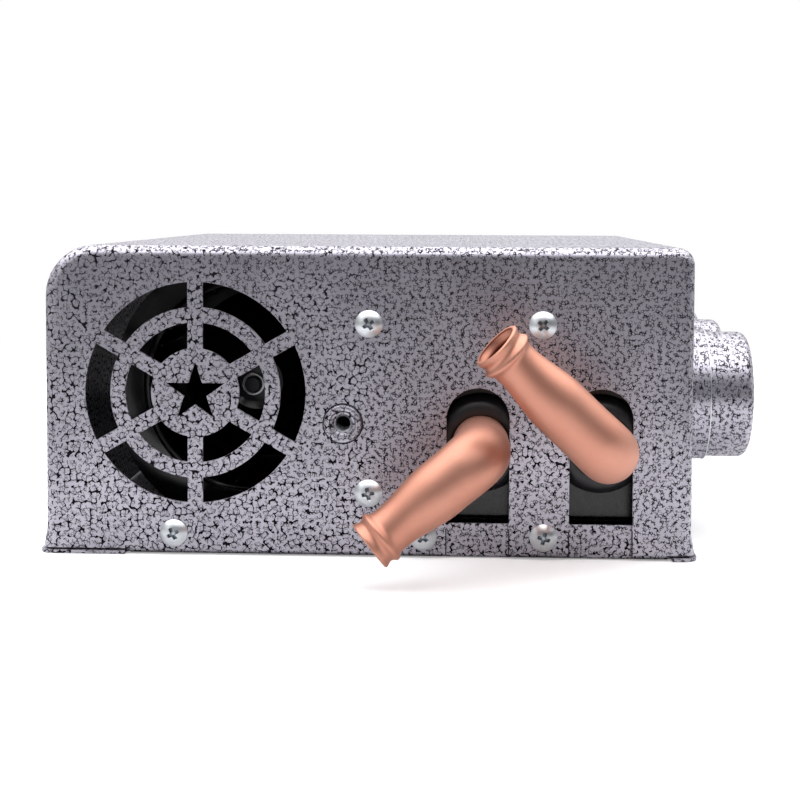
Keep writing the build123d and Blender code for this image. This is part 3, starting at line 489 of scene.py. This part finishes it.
def plain_finish(name, colours, grain_mm, roughness, depth_mm, **sockets):
    """A surface whose only pattern is a fine grain between two close colours and roughnesses."""
    made, tree, shader, place = start_material(name, **sockets)
    grain = add(
        tree, "ShaderNodeTexNoise", {"Vector": place, "Scale": per_metre(grain_mm), "Detail": 3.0}
    )
    tint = add(
        tree,
        "ShaderNodeMix",
        {0: grain.outputs["Fac"], 6: linear(colours[0]), 7: linear(colours[1])},
        data_type="RGBA",
    )
    rough = add(
        tree,
        "ShaderNodeMapRange",
        {"Value": grain.outputs["Fac"], "To Min": roughness[0], "To Max": roughness[1]},
    )
    finish_shader(tree, shader, tint.outputs[2], rough.outputs[0], grain.outputs["Fac"], depth_mm)
    return made


crackle = crackle_powder_coat()
zinc = zinc_plated_steel()
copper = drawn_copper()
# Injection moulded ABS in black: glossy, with a faint ripple from the mould
abs_black = plain_finish("moulded_abs", ("#0B0B0D", "#111114"), 6.0, (0.16, 0.28), 0.02)
# Painted shadow: a matt black strip for the shade in a gap too narrow to see into
painted_seam_shadow = plain_finish("shadowed_seam", ("#141316", "#201E22"), 0.8, (0.8, 0.95), 0.02)
# Moulded nylon in black: an even satin with a fine spark-eroded grain
nylon_black = plain_finish("moulded_nylon", ("#121214", "#1A1A1D"), 0.7, (0.45, 0.6), 0.02)
# Moulded EPDM rubber: charcoal black with a soft gloss
rubber = plain_finish("moulded_epdm_rubber", ("#191A1D", "#232427"), 1.4, (0.34, 0.46), 0.02)
# Baked black enamel on brass tanks: a thin, slightly orange-peeled paint
enamel = plain_finish("baked_black_enamel", ("#060608", "#0A0A0C"), 2.5, (0.22, 0.32), 0.02)
# Closed-cell foam strip: matt with small pores
foam = plain_finish("closed_cell_foam", ("#161617", "#242425"), 0.8, (0.85, 0.95), 0.15)
# Folded copper foil, dulled by soldering: brownish pink metal with a broken shine
fin_copper = plain_finish(
    "soldered_copper_foil", ("#B87558", "#8F5540"), 3.0, (0.35, 0.5), 0.01, Metallic=1.0
)
# Drawn brass: warm yellow metal, a little dulled by the solder bath
tube_brass = plain_finish(
    "drawn_brass", ("#B99A5B", "#A58A52"), 2.0, (0.30, 0.42), 0.01, Metallic=1.0
)
# Hardened steel shaft, blackened in an oil bath: nearly black metal with a soft highlight
blackened_steel = plain_finish(
    "blackened_steel", ("#232325", "#2E2E31"), 0.5, (0.25, 0.35), 0.005, Metallic=0.8
)
# Ground and oiled steel: bright grey metal with a tight highlight
ground_steel = plain_finish(
    "ground_steel", ("#B4B5B7", "#9C9DA0"), 0.5, (0.18, 0.3), 0.005, Metallic=1.0
)
# Stove enamel on the motor's drawn steel case: dark grey, half gloss
motor_enamel = plain_finish(
    "stove_enamelled_steel", ("#26272A", "#2E2F32"), 2.0, (0.35, 0.5), 0.02
)
# Sintered bronze, oily and porous: dull brownish gold
bronze = plain_finish(
    "sintered_bronze", ("#9A7A4B", "#86693F"), 0.4, (0.4, 0.55), 0.02, Metallic=1.0
)
# Pressed and fired ferrite: dark grey and matt, faintly speckled
ferrite = plain_finish("fired_ferrite", ("#2B2B2D", "#3A3A3C"), 0.6, (0.55, 0.7), 0.02)
# Laminated phenolic card: brown with a soft sheen
card = plain_finish("phenolic_card", ("#6B4526", "#7C5330"), 1.5, (0.4, 0.55), 0.01)
# Pressed carbon: nearly black and matt
carbon = plain_finish("pressed_carbon", ("#1B1B1C", "#262627"), 0.4, (0.5, 0.65), 0.02)
# Enamelled winding wire: copper brown under a clear gloss, rough as wound turns are
winding_wire = plain_finish(
    "enamelled_copper_wire", ("#8E4726", "#A2552F"), 0.6, (0.22, 0.35), 0.15, Metallic=0.8
)


# Surfaces as grids of points
def grid(points, wrap_rows=False):
    """Vertices and quads of a grid whose rows are rings: each quad joins a point to its next row
    and its next column. Where wrap_rows is true, the last row joins the first."""
    rows, columns = points.shape[:2]
    index = np.arange(rows * columns).reshape(rows, columns)
    if wrap_rows:
        index = np.vstack([index, index[:1]])
    index = np.hstack([index, index[:, :1]])
    quads = np.stack([index[:-1, :-1], index[1:, :-1], index[1:, 1:], index[:-1, 1:]], axis=-1)
    return points.reshape(-1, 3), quads.reshape(-1, 4)


def across(axis):
    """The axis as a unit vector, and two unit vectors square to it and to each other."""
    axis = np.asarray(axis, float) / np.linalg.norm(axis)
    helper = np.array((0.0, 0.0, 1.0)) if abs(axis[2]) < 0.9 else np.array((1.0, 0.0, 0.0))
    side = np.cross(helper, axis)
    side /= np.linalg.norm(side)
    return axis, side, np.cross(axis, side)


def rounded(corners, cut, steps=4):
    """A closed outline whose corners become quadratic curves, each starting and ending at the
    distance cut from its corner."""
    corners = np.asarray(corners, float)
    before = np.roll(corners, 1, 0) - corners
    after = np.roll(corners, -1, 0) - corners
    back = np.linalg.norm(before, axis=1)
    on = np.linalg.norm(after, axis=1)
    reach = np.minimum(cut, 0.45 * np.minimum(back, on))[:, None]
    start = corners + before / back[:, None] * reach
    end = corners + after / on[:, None] * reach
    t = np.linspace(0, 1, steps + 1)[None, :, None]
    curve = (1 - t) ** 2 * start[:, None] + 2 * t * (1 - t) * corners[:, None] + t**2 * end[:, None]
    return curve.reshape(-1, corners.shape[1])


def lathe(outline, centre, axis, steps=128):
    """A closed outline, each point a distance along the axis and a radius, carried round it."""
    axis, side, up = across(axis)
    outline = np.asarray(outline, float)
    angle = np.linspace(0, 2 * np.pi, steps, endpoint=False)[None, :, None]
    ring = np.cos(angle) * side + np.sin(angle) * up
    points = np.asarray(centre) + outline[:, :1, None] * axis + outline[:, 1:, None] * ring
    return grid(points, wrap_rows=True)


def capped(sections):
    """Closed skin over a stack of closed outlines, whose ends each gather into their middle."""
    first = np.broadcast_to(sections[:1].mean(1, keepdims=True), sections[:1].shape)
    last = np.broadcast_to(sections[-1:].mean(1, keepdims=True), sections[-1:].shape)
    return grid(np.concatenate([first, sections, last]))


def make_piece(name, skins, material, body, replaced=(), sharp=sharp_angle, recess=None):
    """One mesh object at the origin from the skins. recess gives each point its share of painted
    shade, as the attribute recess.
    """
    starts = np.cumsum([0] + [len(points) for points, _ in skins[:-1]])
    points = np.concatenate([points for points, _ in skins]) * MM
    quads = np.concatenate([faces + start for (_, faces), start in zip(skins, starts)])
    mesh = bpy.data.meshes.new(name)
    mesh.from_pydata(points.tolist(), [], quads.tolist())
    if recess is not None:
        mesh.attributes.new("recess", "FLOAT", "POINT").data.foreach_set("value", recess)
    finish_piece(name, mesh, material, body, replaced, sharp)


def finish_piece(name, mesh, material, body, replaced, sharp=sharp_angle):
    """Merges doubles, turns faces outward, shades smooth but for edges past the sharp angle, and
    puts the piece on its body, in place of the nodes that it replaces."""
    shape = bmesh.new()
    shape.from_mesh(mesh)
    bmesh.ops.remove_doubles(shape, verts=shape.verts, dist=1e-6)
    bmesh.ops.dissolve_degenerate(shape, edges=shape.edges, dist=1e-6)
    bmesh.ops.recalc_face_normals(shape, faces=shape.faces)
    shape.to_mesh(mesh)
    shape.free()
    mesh.shade_smooth()
    mesh.set_sharp_from_angle(angle=math.radians(sharp))
    mesh.materials.append(material)
    piece = bpy.data.objects.new(name, mesh)
    bpy.context.scene.collection.objects.link(piece)
    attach(piece, body)
    if replaced:
        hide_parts(*replaced)
    return piece


def softened_copy(node, material, body, edge_mm):
    """The node's own solid as one skin, its flat triangles joined, its edges rounded by edge_mm."""
    mesh = nodes[node].data.copy()
    mesh.materials.clear()
    shape = bmesh.new()
    shape.from_mesh(mesh)
    bmesh.ops.remove_doubles(shape, verts=shape.verts, dist=2e-6)
    bmesh.ops.dissolve_limit(
        shape, angle_limit=math.radians(1.0), verts=shape.verts, edges=shape.edges
    )
    shape.to_mesh(mesh)
    shape.free()
    mesh.name = f"{node}_skin"
    piece = finish_piece(f"{node}_skin", mesh, material, body, (node,))
    bevel = piece.modifiers.new("edges", "BEVEL")
    bevel.width = edge_mm * MM
    bevel.segments = 2
    bevel.limit_method = "ANGLE"
    bevel.angle_limit = math.radians(sharp_angle)
    bevel.harden_normals = True


# Casing and base plate, whose cut edges are rounded a little by the coat
softened_copy("casing_shell", crackle, "heater", 0.25)
softened_copy("base_plate", crackle, "heater", 0.25)


# Screws and threads
def rings(place, outward, height, radius, turn):
    """Points at a height along the outward axis from place and at a radius round it, where turn is
    the angle: place + height · axis + radius · (cos turn · side + sin turn · up)."""
    axis, side, up = across(outward)
    return (
        np.asarray(place, float)
        + height[..., None] * axis
        + (radius * np.cos(turn))[..., None] * side
        + (radius * np.sin(turn))[..., None] * up
    )


def thread_wave(depth, turn, pitch):
    """A triangle wave from 0 to 1 that repeats once per pitch and shifts by one pitch per turn."""
    return abs(((depth[:, None] / pitch - turn[None, :] / (2 * np.pi)) % 1) - 0.5) * 2


def pan_head_screw(place, outward, spin):
    """A domed head by polar grid: its height falls as a power of the radius, less a cross recess
    whose four arms slope to the middle, and a shank whose radius follows a helical thread. Also
    gives each point's share of the painted shade in the recess."""
    turn = np.linspace(0, 2 * np.pi, round_steps, endpoint=False)
    share = np.linspace(0, 1, 34)[:, None]
    radius = screw_head_radius * share
    x, y = radius * np.cos(turn - spin), radius * np.sin(turn - spin)
    arm_x, arm_y = (
        np.clip((cross_reach - abs(along)) / cross_end_slope, 0, 1)
        * np.clip((cross_half_width - abs(over)) / cross_side_slope, 0, 1)
        for along, over in ((x, y), (y, x))
    )
    cross = np.maximum(arm_x, arm_y)
    dome = screw_edge + (screw_head_height - screw_edge) * (1 - share**screw_dome_power)
    head = rings(place, outward, dome - cross_depth * cross, radius, turn)

    depth = np.linspace(0, screw_shank_length, 60)
    threaded = depth[:, None] > screw_plain_length
    shank_radius = screw_shank_radius - screw_thread_depth * (
        thread_wave(depth, turn, screw_pitch) * threaded
    )
    ring = np.ones((1, round_steps))
    radii = np.concatenate(
        [screw_head_radius * ring, screw_shank_radius * ring, shank_radius, 0 * ring]
    )
    heights = np.concatenate([[0.0, 0.0], -depth, [-screw_shank_length]])[:, None]
    shank = rings(place, outward, heights, radii, turn)

    # Painted shade: the recess is darkest along its arms and lighter at the very middle, where
    # light reaches in
    middle = np.clip((x**2 + y**2) / 0.6, 0.25, 1)
    shade = np.concatenate([np.clip(cross * 2.5, 0, 1) * middle, np.zeros(shank.shape[:2])])
    return grid(np.concatenate([head, shank])), shade.ravel()


def screws_on_both_sides(places, first_spin, spin_step):
    """A screw at each (x, z) of both side walls, each turned a little further than the last."""
    return [
        pan_head_screw((x, side * half_width, z), (0, side, 0), first_spin + spin_step * number)
        for side in (-1, 1)
        for number, (x, z) in enumerate(places)
    ]


base_screw_places = [(x, base_screw_z) for x in base_screw_x]
for name, screws in (
    ("base_screw", screws_on_both_sides(base_screw_places, 0.5, 0.4)),
    ("side_screw", screws_on_both_sides(side_screw_places, 0.2, 0.35)),
):
    skins, shades = zip(*screws)
    make_piece(
        f"{name}_set",
        skins,
        zinc,
        "heater",
        (f"{name}s",),
        recess=np.concatenate(shades),
    )


# Rivet nuts, coated on the outside with the casing
def threaded_hole(place, outward):
    """The nut's barrel: its hole's radius follows a helical thread, and its outside is plain."""
    turn = np.linspace(0, 2 * np.pi, round_steps, endpoint=False)
    depth = np.linspace(0.2, nut_length - nut_flange, 90)
    bore = nut_hole_radius + nut_thread_depth * thread_wave(depth, turn, nut_pitch)
    outside = (nut_body_radius - 0.1) * np.ones((2, round_steps))
    depths = np.concatenate([depth, depth[[-1, 0]]])[:, None]
    points = rings(place, outward, -depths, np.concatenate([bore, outside]), turn)
    return grid(points, wrap_rows=True)


nut_faces = [((nut_x, side * half_width, nut_z), (0, side, 0)) for side in (-1, 1)]
flange_outline = [
    (0.0, nut_flange_radius),
    (nut_flange, nut_flange_radius - 0.3),
    (nut_flange, nut_mouth_radius + 0.5),
    (0.0, nut_mouth_radius + 0.5),
]
mouth_outline = [
    (0.0, nut_mouth_radius + 0.45),
    (nut_flange - 0.5, nut_mouth_radius + 0.45),
    (nut_flange - 0.5, nut_mouth_radius - 0.3),
    (nut_flange * 0.1, nut_hole_radius + 0.3),
    (0.0, nut_hole_radius + 0.3),
]
# Painted shadow: a thin black ring just outside each flange, for the shade in the gap where the
# flange meets the casing
flange_shadow_outline = [
    (0.0, nut_flange_radius - 0.1),
    (0.0, nut_flange_radius + nut_shadow_ring_width),
    (0.04, nut_flange_radius + nut_shadow_ring_width),
    (0.04, nut_flange_radius - 0.1),
]
barrels = [threaded_hole(*face) for face in nut_faces]
flanges = [lathe(rounded(flange_outline, 0.6), *face) for face in nut_faces]
mouths = [lathe(rounded(mouth_outline, 0.2), *face) for face in nut_faces]
flange_shadow_rings = [lathe(flange_shadow_outline, *face) for face in nut_faces]
make_piece("rivet_nut_barrels", barrels, zinc, "heater", ("rivet_nuts",), sharp=60)
make_piece("rivet_nut_flanges", flanges + mouths, crackle, "heater")
make_piece("rivet_nut_seam_shadows", flange_shadow_rings, painted_seam_shadow, "heater")

# Outlet sleeves, pressed to the front wall from inside
outlet_centres = [(0, y, outlet_z) for y in outlet_y]
sleeve_outline = [
    (sleeve_back, sleeve_inner_radius),
    (sleeve_front, sleeve_inner_radius),
    (sleeve_front, sleeve_outer_radius),
    (half_length - sheet, sleeve_outer_radius),
    (half_length - sheet, sleeve_flange_radius),
    (sleeve_back, sleeve_flange_radius),
]
make_piece(
    "outlet_sleeve_set",
    [lathe(rounded(sleeve_outline, 0.25), centre, (1, 0, 0)) for centre in outlet_centres],
    crackle,
    "heater",
    ("outlet_sleeves",),
)

# The sleeves' cut ends: a band of bright zinc that paints the edge's highlight, partly real as bare
# metal where the coat is worn
sleeve_highlight_band_outline = [
    (sleeve_front - 0.4, sleeve_outer_radius - 0.3),
    (sleeve_front + 0.06, sleeve_outer_radius - 0.3),
    (sleeve_front + 0.06, sleeve_outer_radius + 0.12),
    (sleeve_front - 0.4, sleeve_outer_radius + 0.12),
]
make_piece(
    "sleeve_end_highlight_bands",
    [lathe(rounded(sleeve_highlight_band_outline, 0.1), centre, (1, 0, 0)) for centre in outlet_centres],
    zinc,
    "heater",
)


# Turning drums and their louvres
def drum_outline():
    """The drum's section: a lip at the back, a plain wall, and a rim rolled inward as a quarter
    circle."""
    bend = drum_front - drum_rim_radius
    opening = drum_radius - drum_rim_radius
    turn = np.linspace(0, np.pi / 2, 9)
    roll, inner = (
        np.stack([bend + radius * np.sin(turn), opening + radius * np.cos(turn)], axis=1)
        for radius in (drum_rim_radius, drum_rim_radius - drum_wall)
    )
    lip = rounded(
        [
            (drum_back, drum_radius - drum_wall),
            (drum_back, drum_radius + drum_lip),
            (drum_back + drum_wall, drum_radius + drum_lip),
            (drum_back + drum_wall, drum_radius),
        ],
        0.25,
    )
    return np.concatenate([lip, roll, inner[::-1]])


def louvre_blade(height, y):
    """One blade: a thin ellipse section, tilted, carried across the drum to the ring's wall."""
    turn = np.linspace(0, 2 * np.pi, 28, endpoint=False)
    tilt = math.radians(louvre_angle)
    chord = louvre_depth / math.cos(tilt) - louvre_setback
    along, thick = np.cos(turn) * chord / 2, np.sin(turn) * louvre_half_thickness
    middle = drum_front - drum_rim_radius - louvre_depth / 2
    x = middle + along * math.cos(tilt) - thick * math.sin(tilt)
    z = height + along * math.sin(tilt) + thick * math.cos(tilt)
    reach = np.sqrt((drum_radius - drum_wall - louvre_ring / 2) ** 2 - z**2)
    span = np.linspace(-1, 1, 25)[:, None]
    return capped(np.stack(np.broadcast_arrays(x, y + span * reach, outlet_z + z), axis=-1))


louvre_heights = (np.arange(louvre_count) - (louvre_count - 1) / 2) * louvre_pitch
louvre_back = drum_front - drum_rim_radius - louvre_depth
ring_outline = [
    (louvre_back, drum_radius - drum_wall - louvre_ring),
    (louvre_back + louvre_depth, drum_radius - drum_wall - louvre_ring),
    (louvre_back + louvre_depth, drum_radius - drum_wall),
    (louvre_back, drum_radius - drum_wall),
]
for name, centre in zip(outlet_names, outlet_centres):
    make_piece(
        f"drum_{name}",
        [lathe(drum_outline(), centre, (1, 0, 0), 160)],
        crackle,
        f"vent_{name}",
        (f"vent_drum_{name}",),
    )
    louvres = [louvre_blade(height, centre[1]) for height in louvre_heights]
    louvres.append(lathe(rounded(ring_outline, 0.2), centre, (1, 0, 0)))
    make_piece(
        f"louvre_{name}",
        louvres,
        nylon_black,
        f"vent_{name}",
        (f"vent_louvre_{name}",),
    )


# Water pipes
def smooth_step(value, low, high):
    """0 below low, 1 above high, and a smooth cubic between."""
    t = np.clip((value - low) / (high - low), 0, 1)
    return t * t * (3 - 2 * t)


def pipe_profile(total, straight, bend):
    """Distance along the tube and radius there, once out to the lip and once back inside: the
    radius tapers to the swaged neck, rises to the rolled bead, dips and flares to the lip. Rows
    stand closest in the bend and along the swaged end."""
    neck, bead = total - neck_from_end, total - bead_from_end
    s = np.concatenate(
        [
            np.linspace(0, straight - 2, 12),
            np.linspace(straight - 1, straight + bend + 1, 44),
            np.linspace(straight + bend + 2, neck - 3, 34),
            np.linspace(neck - 2.5, total, 46),
        ]
    )
    taper = smooth_step(s, neck - 2.0 - pipe_cone, neck - 0.5)
    rise = np.exp(-(((s - bead) / bead_spread) ** 2))
    flare = smooth_step(s, total - 3.4, total - 0.3)
    radius = (
        pipe_radius
        - (pipe_radius - hose_neck_radius) * taper
        + (hose_bead_radius - hose_neck_radius) * rise
        + (hose_lip_radius - hose_neck_radius) * flare
    )
    radius[-1] -= pipe_wall * 0.45
    edge = np.array([[total + 0.12, radius[-1] - pipe_wall * 0.1]])
    inside = np.stack([s, radius - pipe_wall], axis=1)[::-1]
    inside[0, 1] += pipe_wall * 0.2
    return np.concatenate([np.stack([s, radius], axis=1), edge, inside])


def pipe_skin(x, leg_angle, leg_length):
    """The profile carried along a straight run, a bend and a leg. In the bend the section is a
    little flattened toward the bend's centre and widened square to it."""
    tilt, rise, leg_turn = (math.radians(a) for a in (pipe_turn, pipe_rise, leg_angle))
    corner = np.array((x, pipe_corner_y, pipe_z))
    first = np.array((0.0, -math.cos(rise), math.sin(rise)))
    sideways = math.sin(tilt)
    leg = np.array(
        (sideways * math.cos(leg_turn), -math.cos(tilt), sideways * math.sin(leg_turn))
    )
    square = np.cross(leg, first)
    square /= np.linalg.norm(square)
    toward = leg - first * np.dot(leg, first)
    toward /= np.linalg.norm(toward)

    angle = math.acos(np.dot(first, leg))
    tangent = pipe_bend_radius * math.tan(angle / 2)
    first_run = abs(pipe_corner_y - pipe_inner_y) / math.cos(rise)
    straight = first_run - tangent
    bend = pipe_bend_radius * angle
    profile = pipe_profile(straight + bend + leg_length - tangent, straight, bend)
    distance, radius = profile[:, :1], profile[:, 1:]

    bent = np.clip(distance - straight, 0, bend) / pipe_bend_radius
    pivot = corner - first * tangent + toward * pipe_bend_radius
    arc = pivot + pipe_bend_radius * (first * np.sin(bent) - toward * np.cos(bent))
    line = np.where(distance < straight, corner + first * (distance - first_run), arc)
    line = line + leg * np.maximum(distance - straight - bend, 0)
    inward = toward * np.cos(bent) - first * np.sin(bent)
    share = np.clip((distance - straight + 6) / (bend + 12), 0, 1)
    flattened = 1 - pipe_ovalling * np.sin(np.pi * share) ** 2
    turn = np.linspace(0, 2 * np.pi, 112, endpoint=False)
    points = (
        line[:, None]
        + (radius * flattened * np.cos(turn))[..., None] * inward[:, None]
        + (radius / flattened**0.5 * np.sin(turn))[..., None] * square
    )
    return grid(points, wrap_rows=True)


for name, x, leg_angle, leg_length in zip(pipe_names, pipe_x, pipe_leg_angle, pipe_leg_length):
    tube = pipe_skin(x, leg_angle, leg_length)
    make_piece(f"{name}_tube", [tube], copper, "heater", (name,), sharp=60)

# Moulded rubber grommets, a soft round collar against the tank
pipe_face_z = pipe_z - (tank_face_y - pipe_corner_y) * math.tan(math.radians(pipe_rise))
grommet_outline = [
    (0, pipe_radius),
    (0, grommet_radius),
    (grommet_height * 0.45, grommet_radius),
    (grommet_height, grommet_radius - grommet_bevel),
    (grommet_height, pipe_radius),
]
make_piece(
    "pipe_grommet_pair",
    [
        lathe(rounded(grommet_outline, 2.4, 6), (x, tank_face_y, pipe_face_z), (0, -1, 0))
        for x in pipe_x
    ],
    rubber,
    "heater",
    ("pipe_grommets",),
)


# Painted shadow: dark strips in the seams below the pipe slots, where the strip that closes each
# slot meets the casing
def slot_shadow_bar(x):
    """A thin dark bar round x that paints the seam's shadow: its section in X and Y carried up the
    casing's side, in Z.
    """
    face, inside = -half_width - 0.03, -half_width + 0.2
    left, right = x - seam_shadow_half_width, x + seam_shadow_half_width
    section = np.array([(left, face), (right, face), (right, inside), (left, inside)])
    z = np.linspace(seam_shadow_low, slot_low, 8)[:, None]
    return grid(np.stack(np.broadcast_arrays(section[:, 0], section[:, 1], z), axis=-1))


slot_seam_shadows = [slot_shadow_bar(x + side * slot_half_width) for x in slot_x for side in (-1, 1)]
make_piece("slot_seam_shadows", slot_seam_shadows, painted_seam_shadow, "heater")

# Blower wheels and covers, with softened edges
for name in ("near", "far"):
    softened_copy(f"blower_wheel_{name}", abs_black, "rotor", 0.1)
    softened_copy(f"blower_cover_{name}", abs_black, "heater", 0.2)

clip_outline = [
    (hub_end_deep, shaft_radius),
    (hub_end_deep + clip_thickness, shaft_radius),
    (hub_end_deep + clip_thickness, clip_radius),
    (hub_end_deep, clip_radius),
]
make_piece(
    "hub_clip_pair",
    [lathe(rounded(clip_outline, 0.3), (fan_x, 0, fan_z), (0, side, 0)) for side in (-1, 1)],
    ground_steel,
    "rotor",
    ("hub_clips",),
)


# Core fins
def fin_strip(low, high):
    """A foil folded up and down as a triangle wave along the core, with the foil's thickness: its
    section in Y and Z carried from the core's rear to its front, in X."""
    folds = int(2 * header_y / fin_pitch)
    steps = np.arange(2 * folds + 1)
    y = -header_y + steps * header_y / folds
    z = np.where(steps % 2, high, low + fin_sheet)
    under = np.stack([y, z - fin_sheet], axis=1)
    section = np.concatenate([np.stack([y, z], axis=1), under[::-1]])
    x = np.array([core_rear_x + 0.5, core_front_x - 0.5])[:, None]
    return grid(np.stack(np.broadcast_arrays(x, section[:, 0], section[:, 1]), axis=-1))


tube_pitch = core_height / (tube_rows + 1)
rises = core_bottom + tube_pitch * np.arange(1, tube_rows + 1)
floors = [core_bottom + core_side_sheet, *(rises + tube_height / 2)]
roofs = [*(rises - tube_height / 2), core_bottom + core_height - core_side_sheet]
make_piece(
    "fin_strips",
    [fin_strip(low, high) for low, high in zip(floors, roofs)],
    fin_copper,
    "heater",
    ("core_fins",),
    sharp=20,
)

# The other nodes keep their solids and take the finish of what each is made of
motor_fittings = ("motor_caps", "motor_cradle", "motor_strap", "strap_screws")
finishes = (
    (zinc, ("vent_retainers", "bulkhead", "core_bracket_near", "core_bracket_far")),
    (zinc, motor_fittings),
    (enamel, ("core_side_plates", "core_tank_near", "core_tank_far")),
    (tube_brass, ("core_tubes", "core_header_near", "core_header_far")),
    (foam, ("core_foam_strips",)),
    (abs_black, ("blower_housing_near", "blower_housing_far")),
    (motor_enamel, ("motor_case",)),
    (bronze, ("motor_bushes",)),
    (ferrite, ("motor_magnets",)),
    (card, ("brush_card",)),
    (carbon, ("carbon_brushes",)),
    (blackened_steel, ("motor_shaft",)),
    (ground_steel, ("armature_stack",)),
    (winding_wire, ("armature_windings",)),
    (fin_copper, ("commutator",)),
    (rubber, ("cable_grommet",)),
)
for material, names in finishes:
    for name in names:
        nodes[name].data.materials.clear()
        nodes[name].data.materials.append(material)


# Studio, whose greys are amounts of light, where 1 is white
white_light = (1.0, 1.0, 1.0, 1.0)
paper_grey = (0.84, 0.84, 0.84, 1.0)
far_floor_grey = (0.06, 0.06, 0.06, 1.0)
dark_room = (0.06, 0.06, 0.064, 1.0)
bright_room = (1.12, 1.11, 1.16, 1.0)


def studio_floor():
    """A pale plane under the object. To the camera it is paper, lifted a little by its own light,
    that keeps the shadow near the object and fades to white away from it. To all other rays it is
    the same paper near the object and dark beyond, so that metal mirrors a dark room."""
    reach, just_below = 6.0, -0.0002
    corners = [(-reach, -reach, 0), (reach, -reach, 0), (reach, reach, 0), (-reach, reach, 0)]
    mesh = bpy.data.meshes.new("studio_floor")
    mesh.from_pydata(corners, [], [(0, 1, 2, 3)])
    floor = bpy.data.objects.new("studio_floor", mesh)
    floor.location.z = just_below
    bpy.context.scene.collection.objects.link(floor)
    made = bpy.data.materials.new("pale_paper_floor")
    made.use_nodes = True
    tree = made.node_tree
    tree.nodes.clear()
    place = add(tree, "ShaderNodeTexCoord").outputs["Object"]
    away = add(tree, "ShaderNodeVectorMath", {0: place}, operation="LENGTH").outputs["Value"]
    fades = []
    for near, far in ((0.25, 0.8), (0.24, 0.78)):
        fade = add(
            tree,
            "ShaderNodeMapRange",
            {"Value": away, "From Min": near, "From Max": far},
            interpolation_type="SMOOTHSTEP",
        )
        fades.append(fade.outputs[0])
    to_white, to_dark = fades
    shade = add(
        tree, "ShaderNodeMix", {0: to_dark, 6: paper_grey, 7: far_floor_grey}, data_type="RGBA"
    )
    to_others = add(tree, "ShaderNodeBsdfDiffuse", {"Color": shade.outputs[2]})
    paper = add(tree, "ShaderNodeBsdfDiffuse", {"Color": paper_grey})
    lift = add(tree, "ShaderNodeEmission", {"Color": white_light, "Strength": 0.30})
    lit_paper = add(tree, "ShaderNodeAddShader", {0: paper.outputs[0], 1: lift.outputs[0]})
    white = add(tree, "ShaderNodeEmission", {"Color": white_light, "Strength": 1.0})
    to_camera = add(
        tree, "ShaderNodeMixShader", {0: to_white, 1: lit_paper.outputs[0], 2: white.outputs[0]}
    )
    seen = add(tree, "ShaderNodeLightPath").outputs["Is Camera Ray"]
    look = add(
        tree, "ShaderNodeMixShader", {0: seen, 1: to_others.outputs[0], 2: to_camera.outputs[0]}
    )
    add(tree, "ShaderNodeOutputMaterial", {"Surface": look.outputs[0]})
    mesh.materials.append(made)


def studio_world():
    """White to the camera, and to glossy and transmission rays toward the backdrop. All other light
    comes from a bright backdrop behind the object and a bright ceiling, and the room behind the
    camera is dark, which gives tubes their dark band at eye level."""
    world = bpy.data.worlds.new("studio_world")
    bpy.context.scene.world = world
    world.use_nodes = True
    tree = world.node_tree
    tree.nodes.clear()
    direction = add(tree, "ShaderNodeTexCoord").outputs["Generated"]
    split = add(tree, "ShaderNodeSeparateXYZ", {0: direction})
    parts = []
    for axis, low, high in (("Y", -0.35, 0.35), ("Z", 0.45, 0.90)):
        part = add(
            tree,
            "ShaderNodeMapRange",
            {"Value": split.outputs[axis], "From Min": low, "From Max": high},
            interpolation_type="SMOOTHSTEP",
        )
        parts.append(part.outputs[0])
    backdrop, ceiling = parts
    bright = add(tree, "ShaderNodeMath", {0: backdrop, 1: ceiling}, operation="MAXIMUM")
    glow = add(
        tree,
        "ShaderNodeMix",
        {0: bright.outputs[0], 6: dark_room, 7: bright_room},
        data_type="RGBA",
    )
    room = add(tree, "ShaderNodeBackground", {"Color": glow.outputs[2], "Strength": 1.0})
    white = add(tree, "ShaderNodeBackground", {"Color": white_light, "Strength": 1.0})
    rays = add(tree, "ShaderNodeLightPath").outputs
    shiny = add(
        tree,
        "ShaderNodeMath",
        {0: rays["Is Glossy Ray"], 1: rays["Is Transmission Ray"]},
        operation="MAXIMUM",
    )
    behind = add(tree, "ShaderNodeMath", {0: shiny.outputs[0], 1: backdrop}, operation="MULTIPLY")
    seen = add(
        tree,
        "ShaderNodeMath",
        {0: rays["Is Camera Ray"], 1: behind.outputs[0]},
        operation="MAXIMUM",
    )
    look = add(
        tree, "ShaderNodeMixShader", {0: seen.outputs[0], 1: room.outputs[0], 2: white.outputs[0]}
    )
    add(tree, "ShaderNodeOutputWorld", {"Surface": look.outputs[0]})


def soft_box(name, place, target, size, power):
    """A rectangular area lamp at place, in metres, that faces the target."""
    data = bpy.data.lights.new(name, "AREA")
    data.shape = "RECTANGLE"
    data.size, data.size_y = size
    data.energy = power
    lamp = bpy.data.objects.new(name, data)
    lamp.location = place
    lamp.rotation_mode = "QUATERNION"
    lamp.rotation_quaternion = (Vector(target) - Vector(place)).to_track_quat("-Z", "Y")
    bpy.context.scene.collection.objects.link(lamp)


studio_floor()
studio_world()
soft_box("overhead_box", (0.0, 0.15, 1.1), (0.0, 0.15, 0.05), (3.2, 2.2), 43.0)
soft_box("left_box", (-1.0, -0.9, 0.5), (0.0, 0.0, 0.05), (0.8, 0.8), 2.0)
bpy.context.scene.view_settings.view_transform = "Standard"
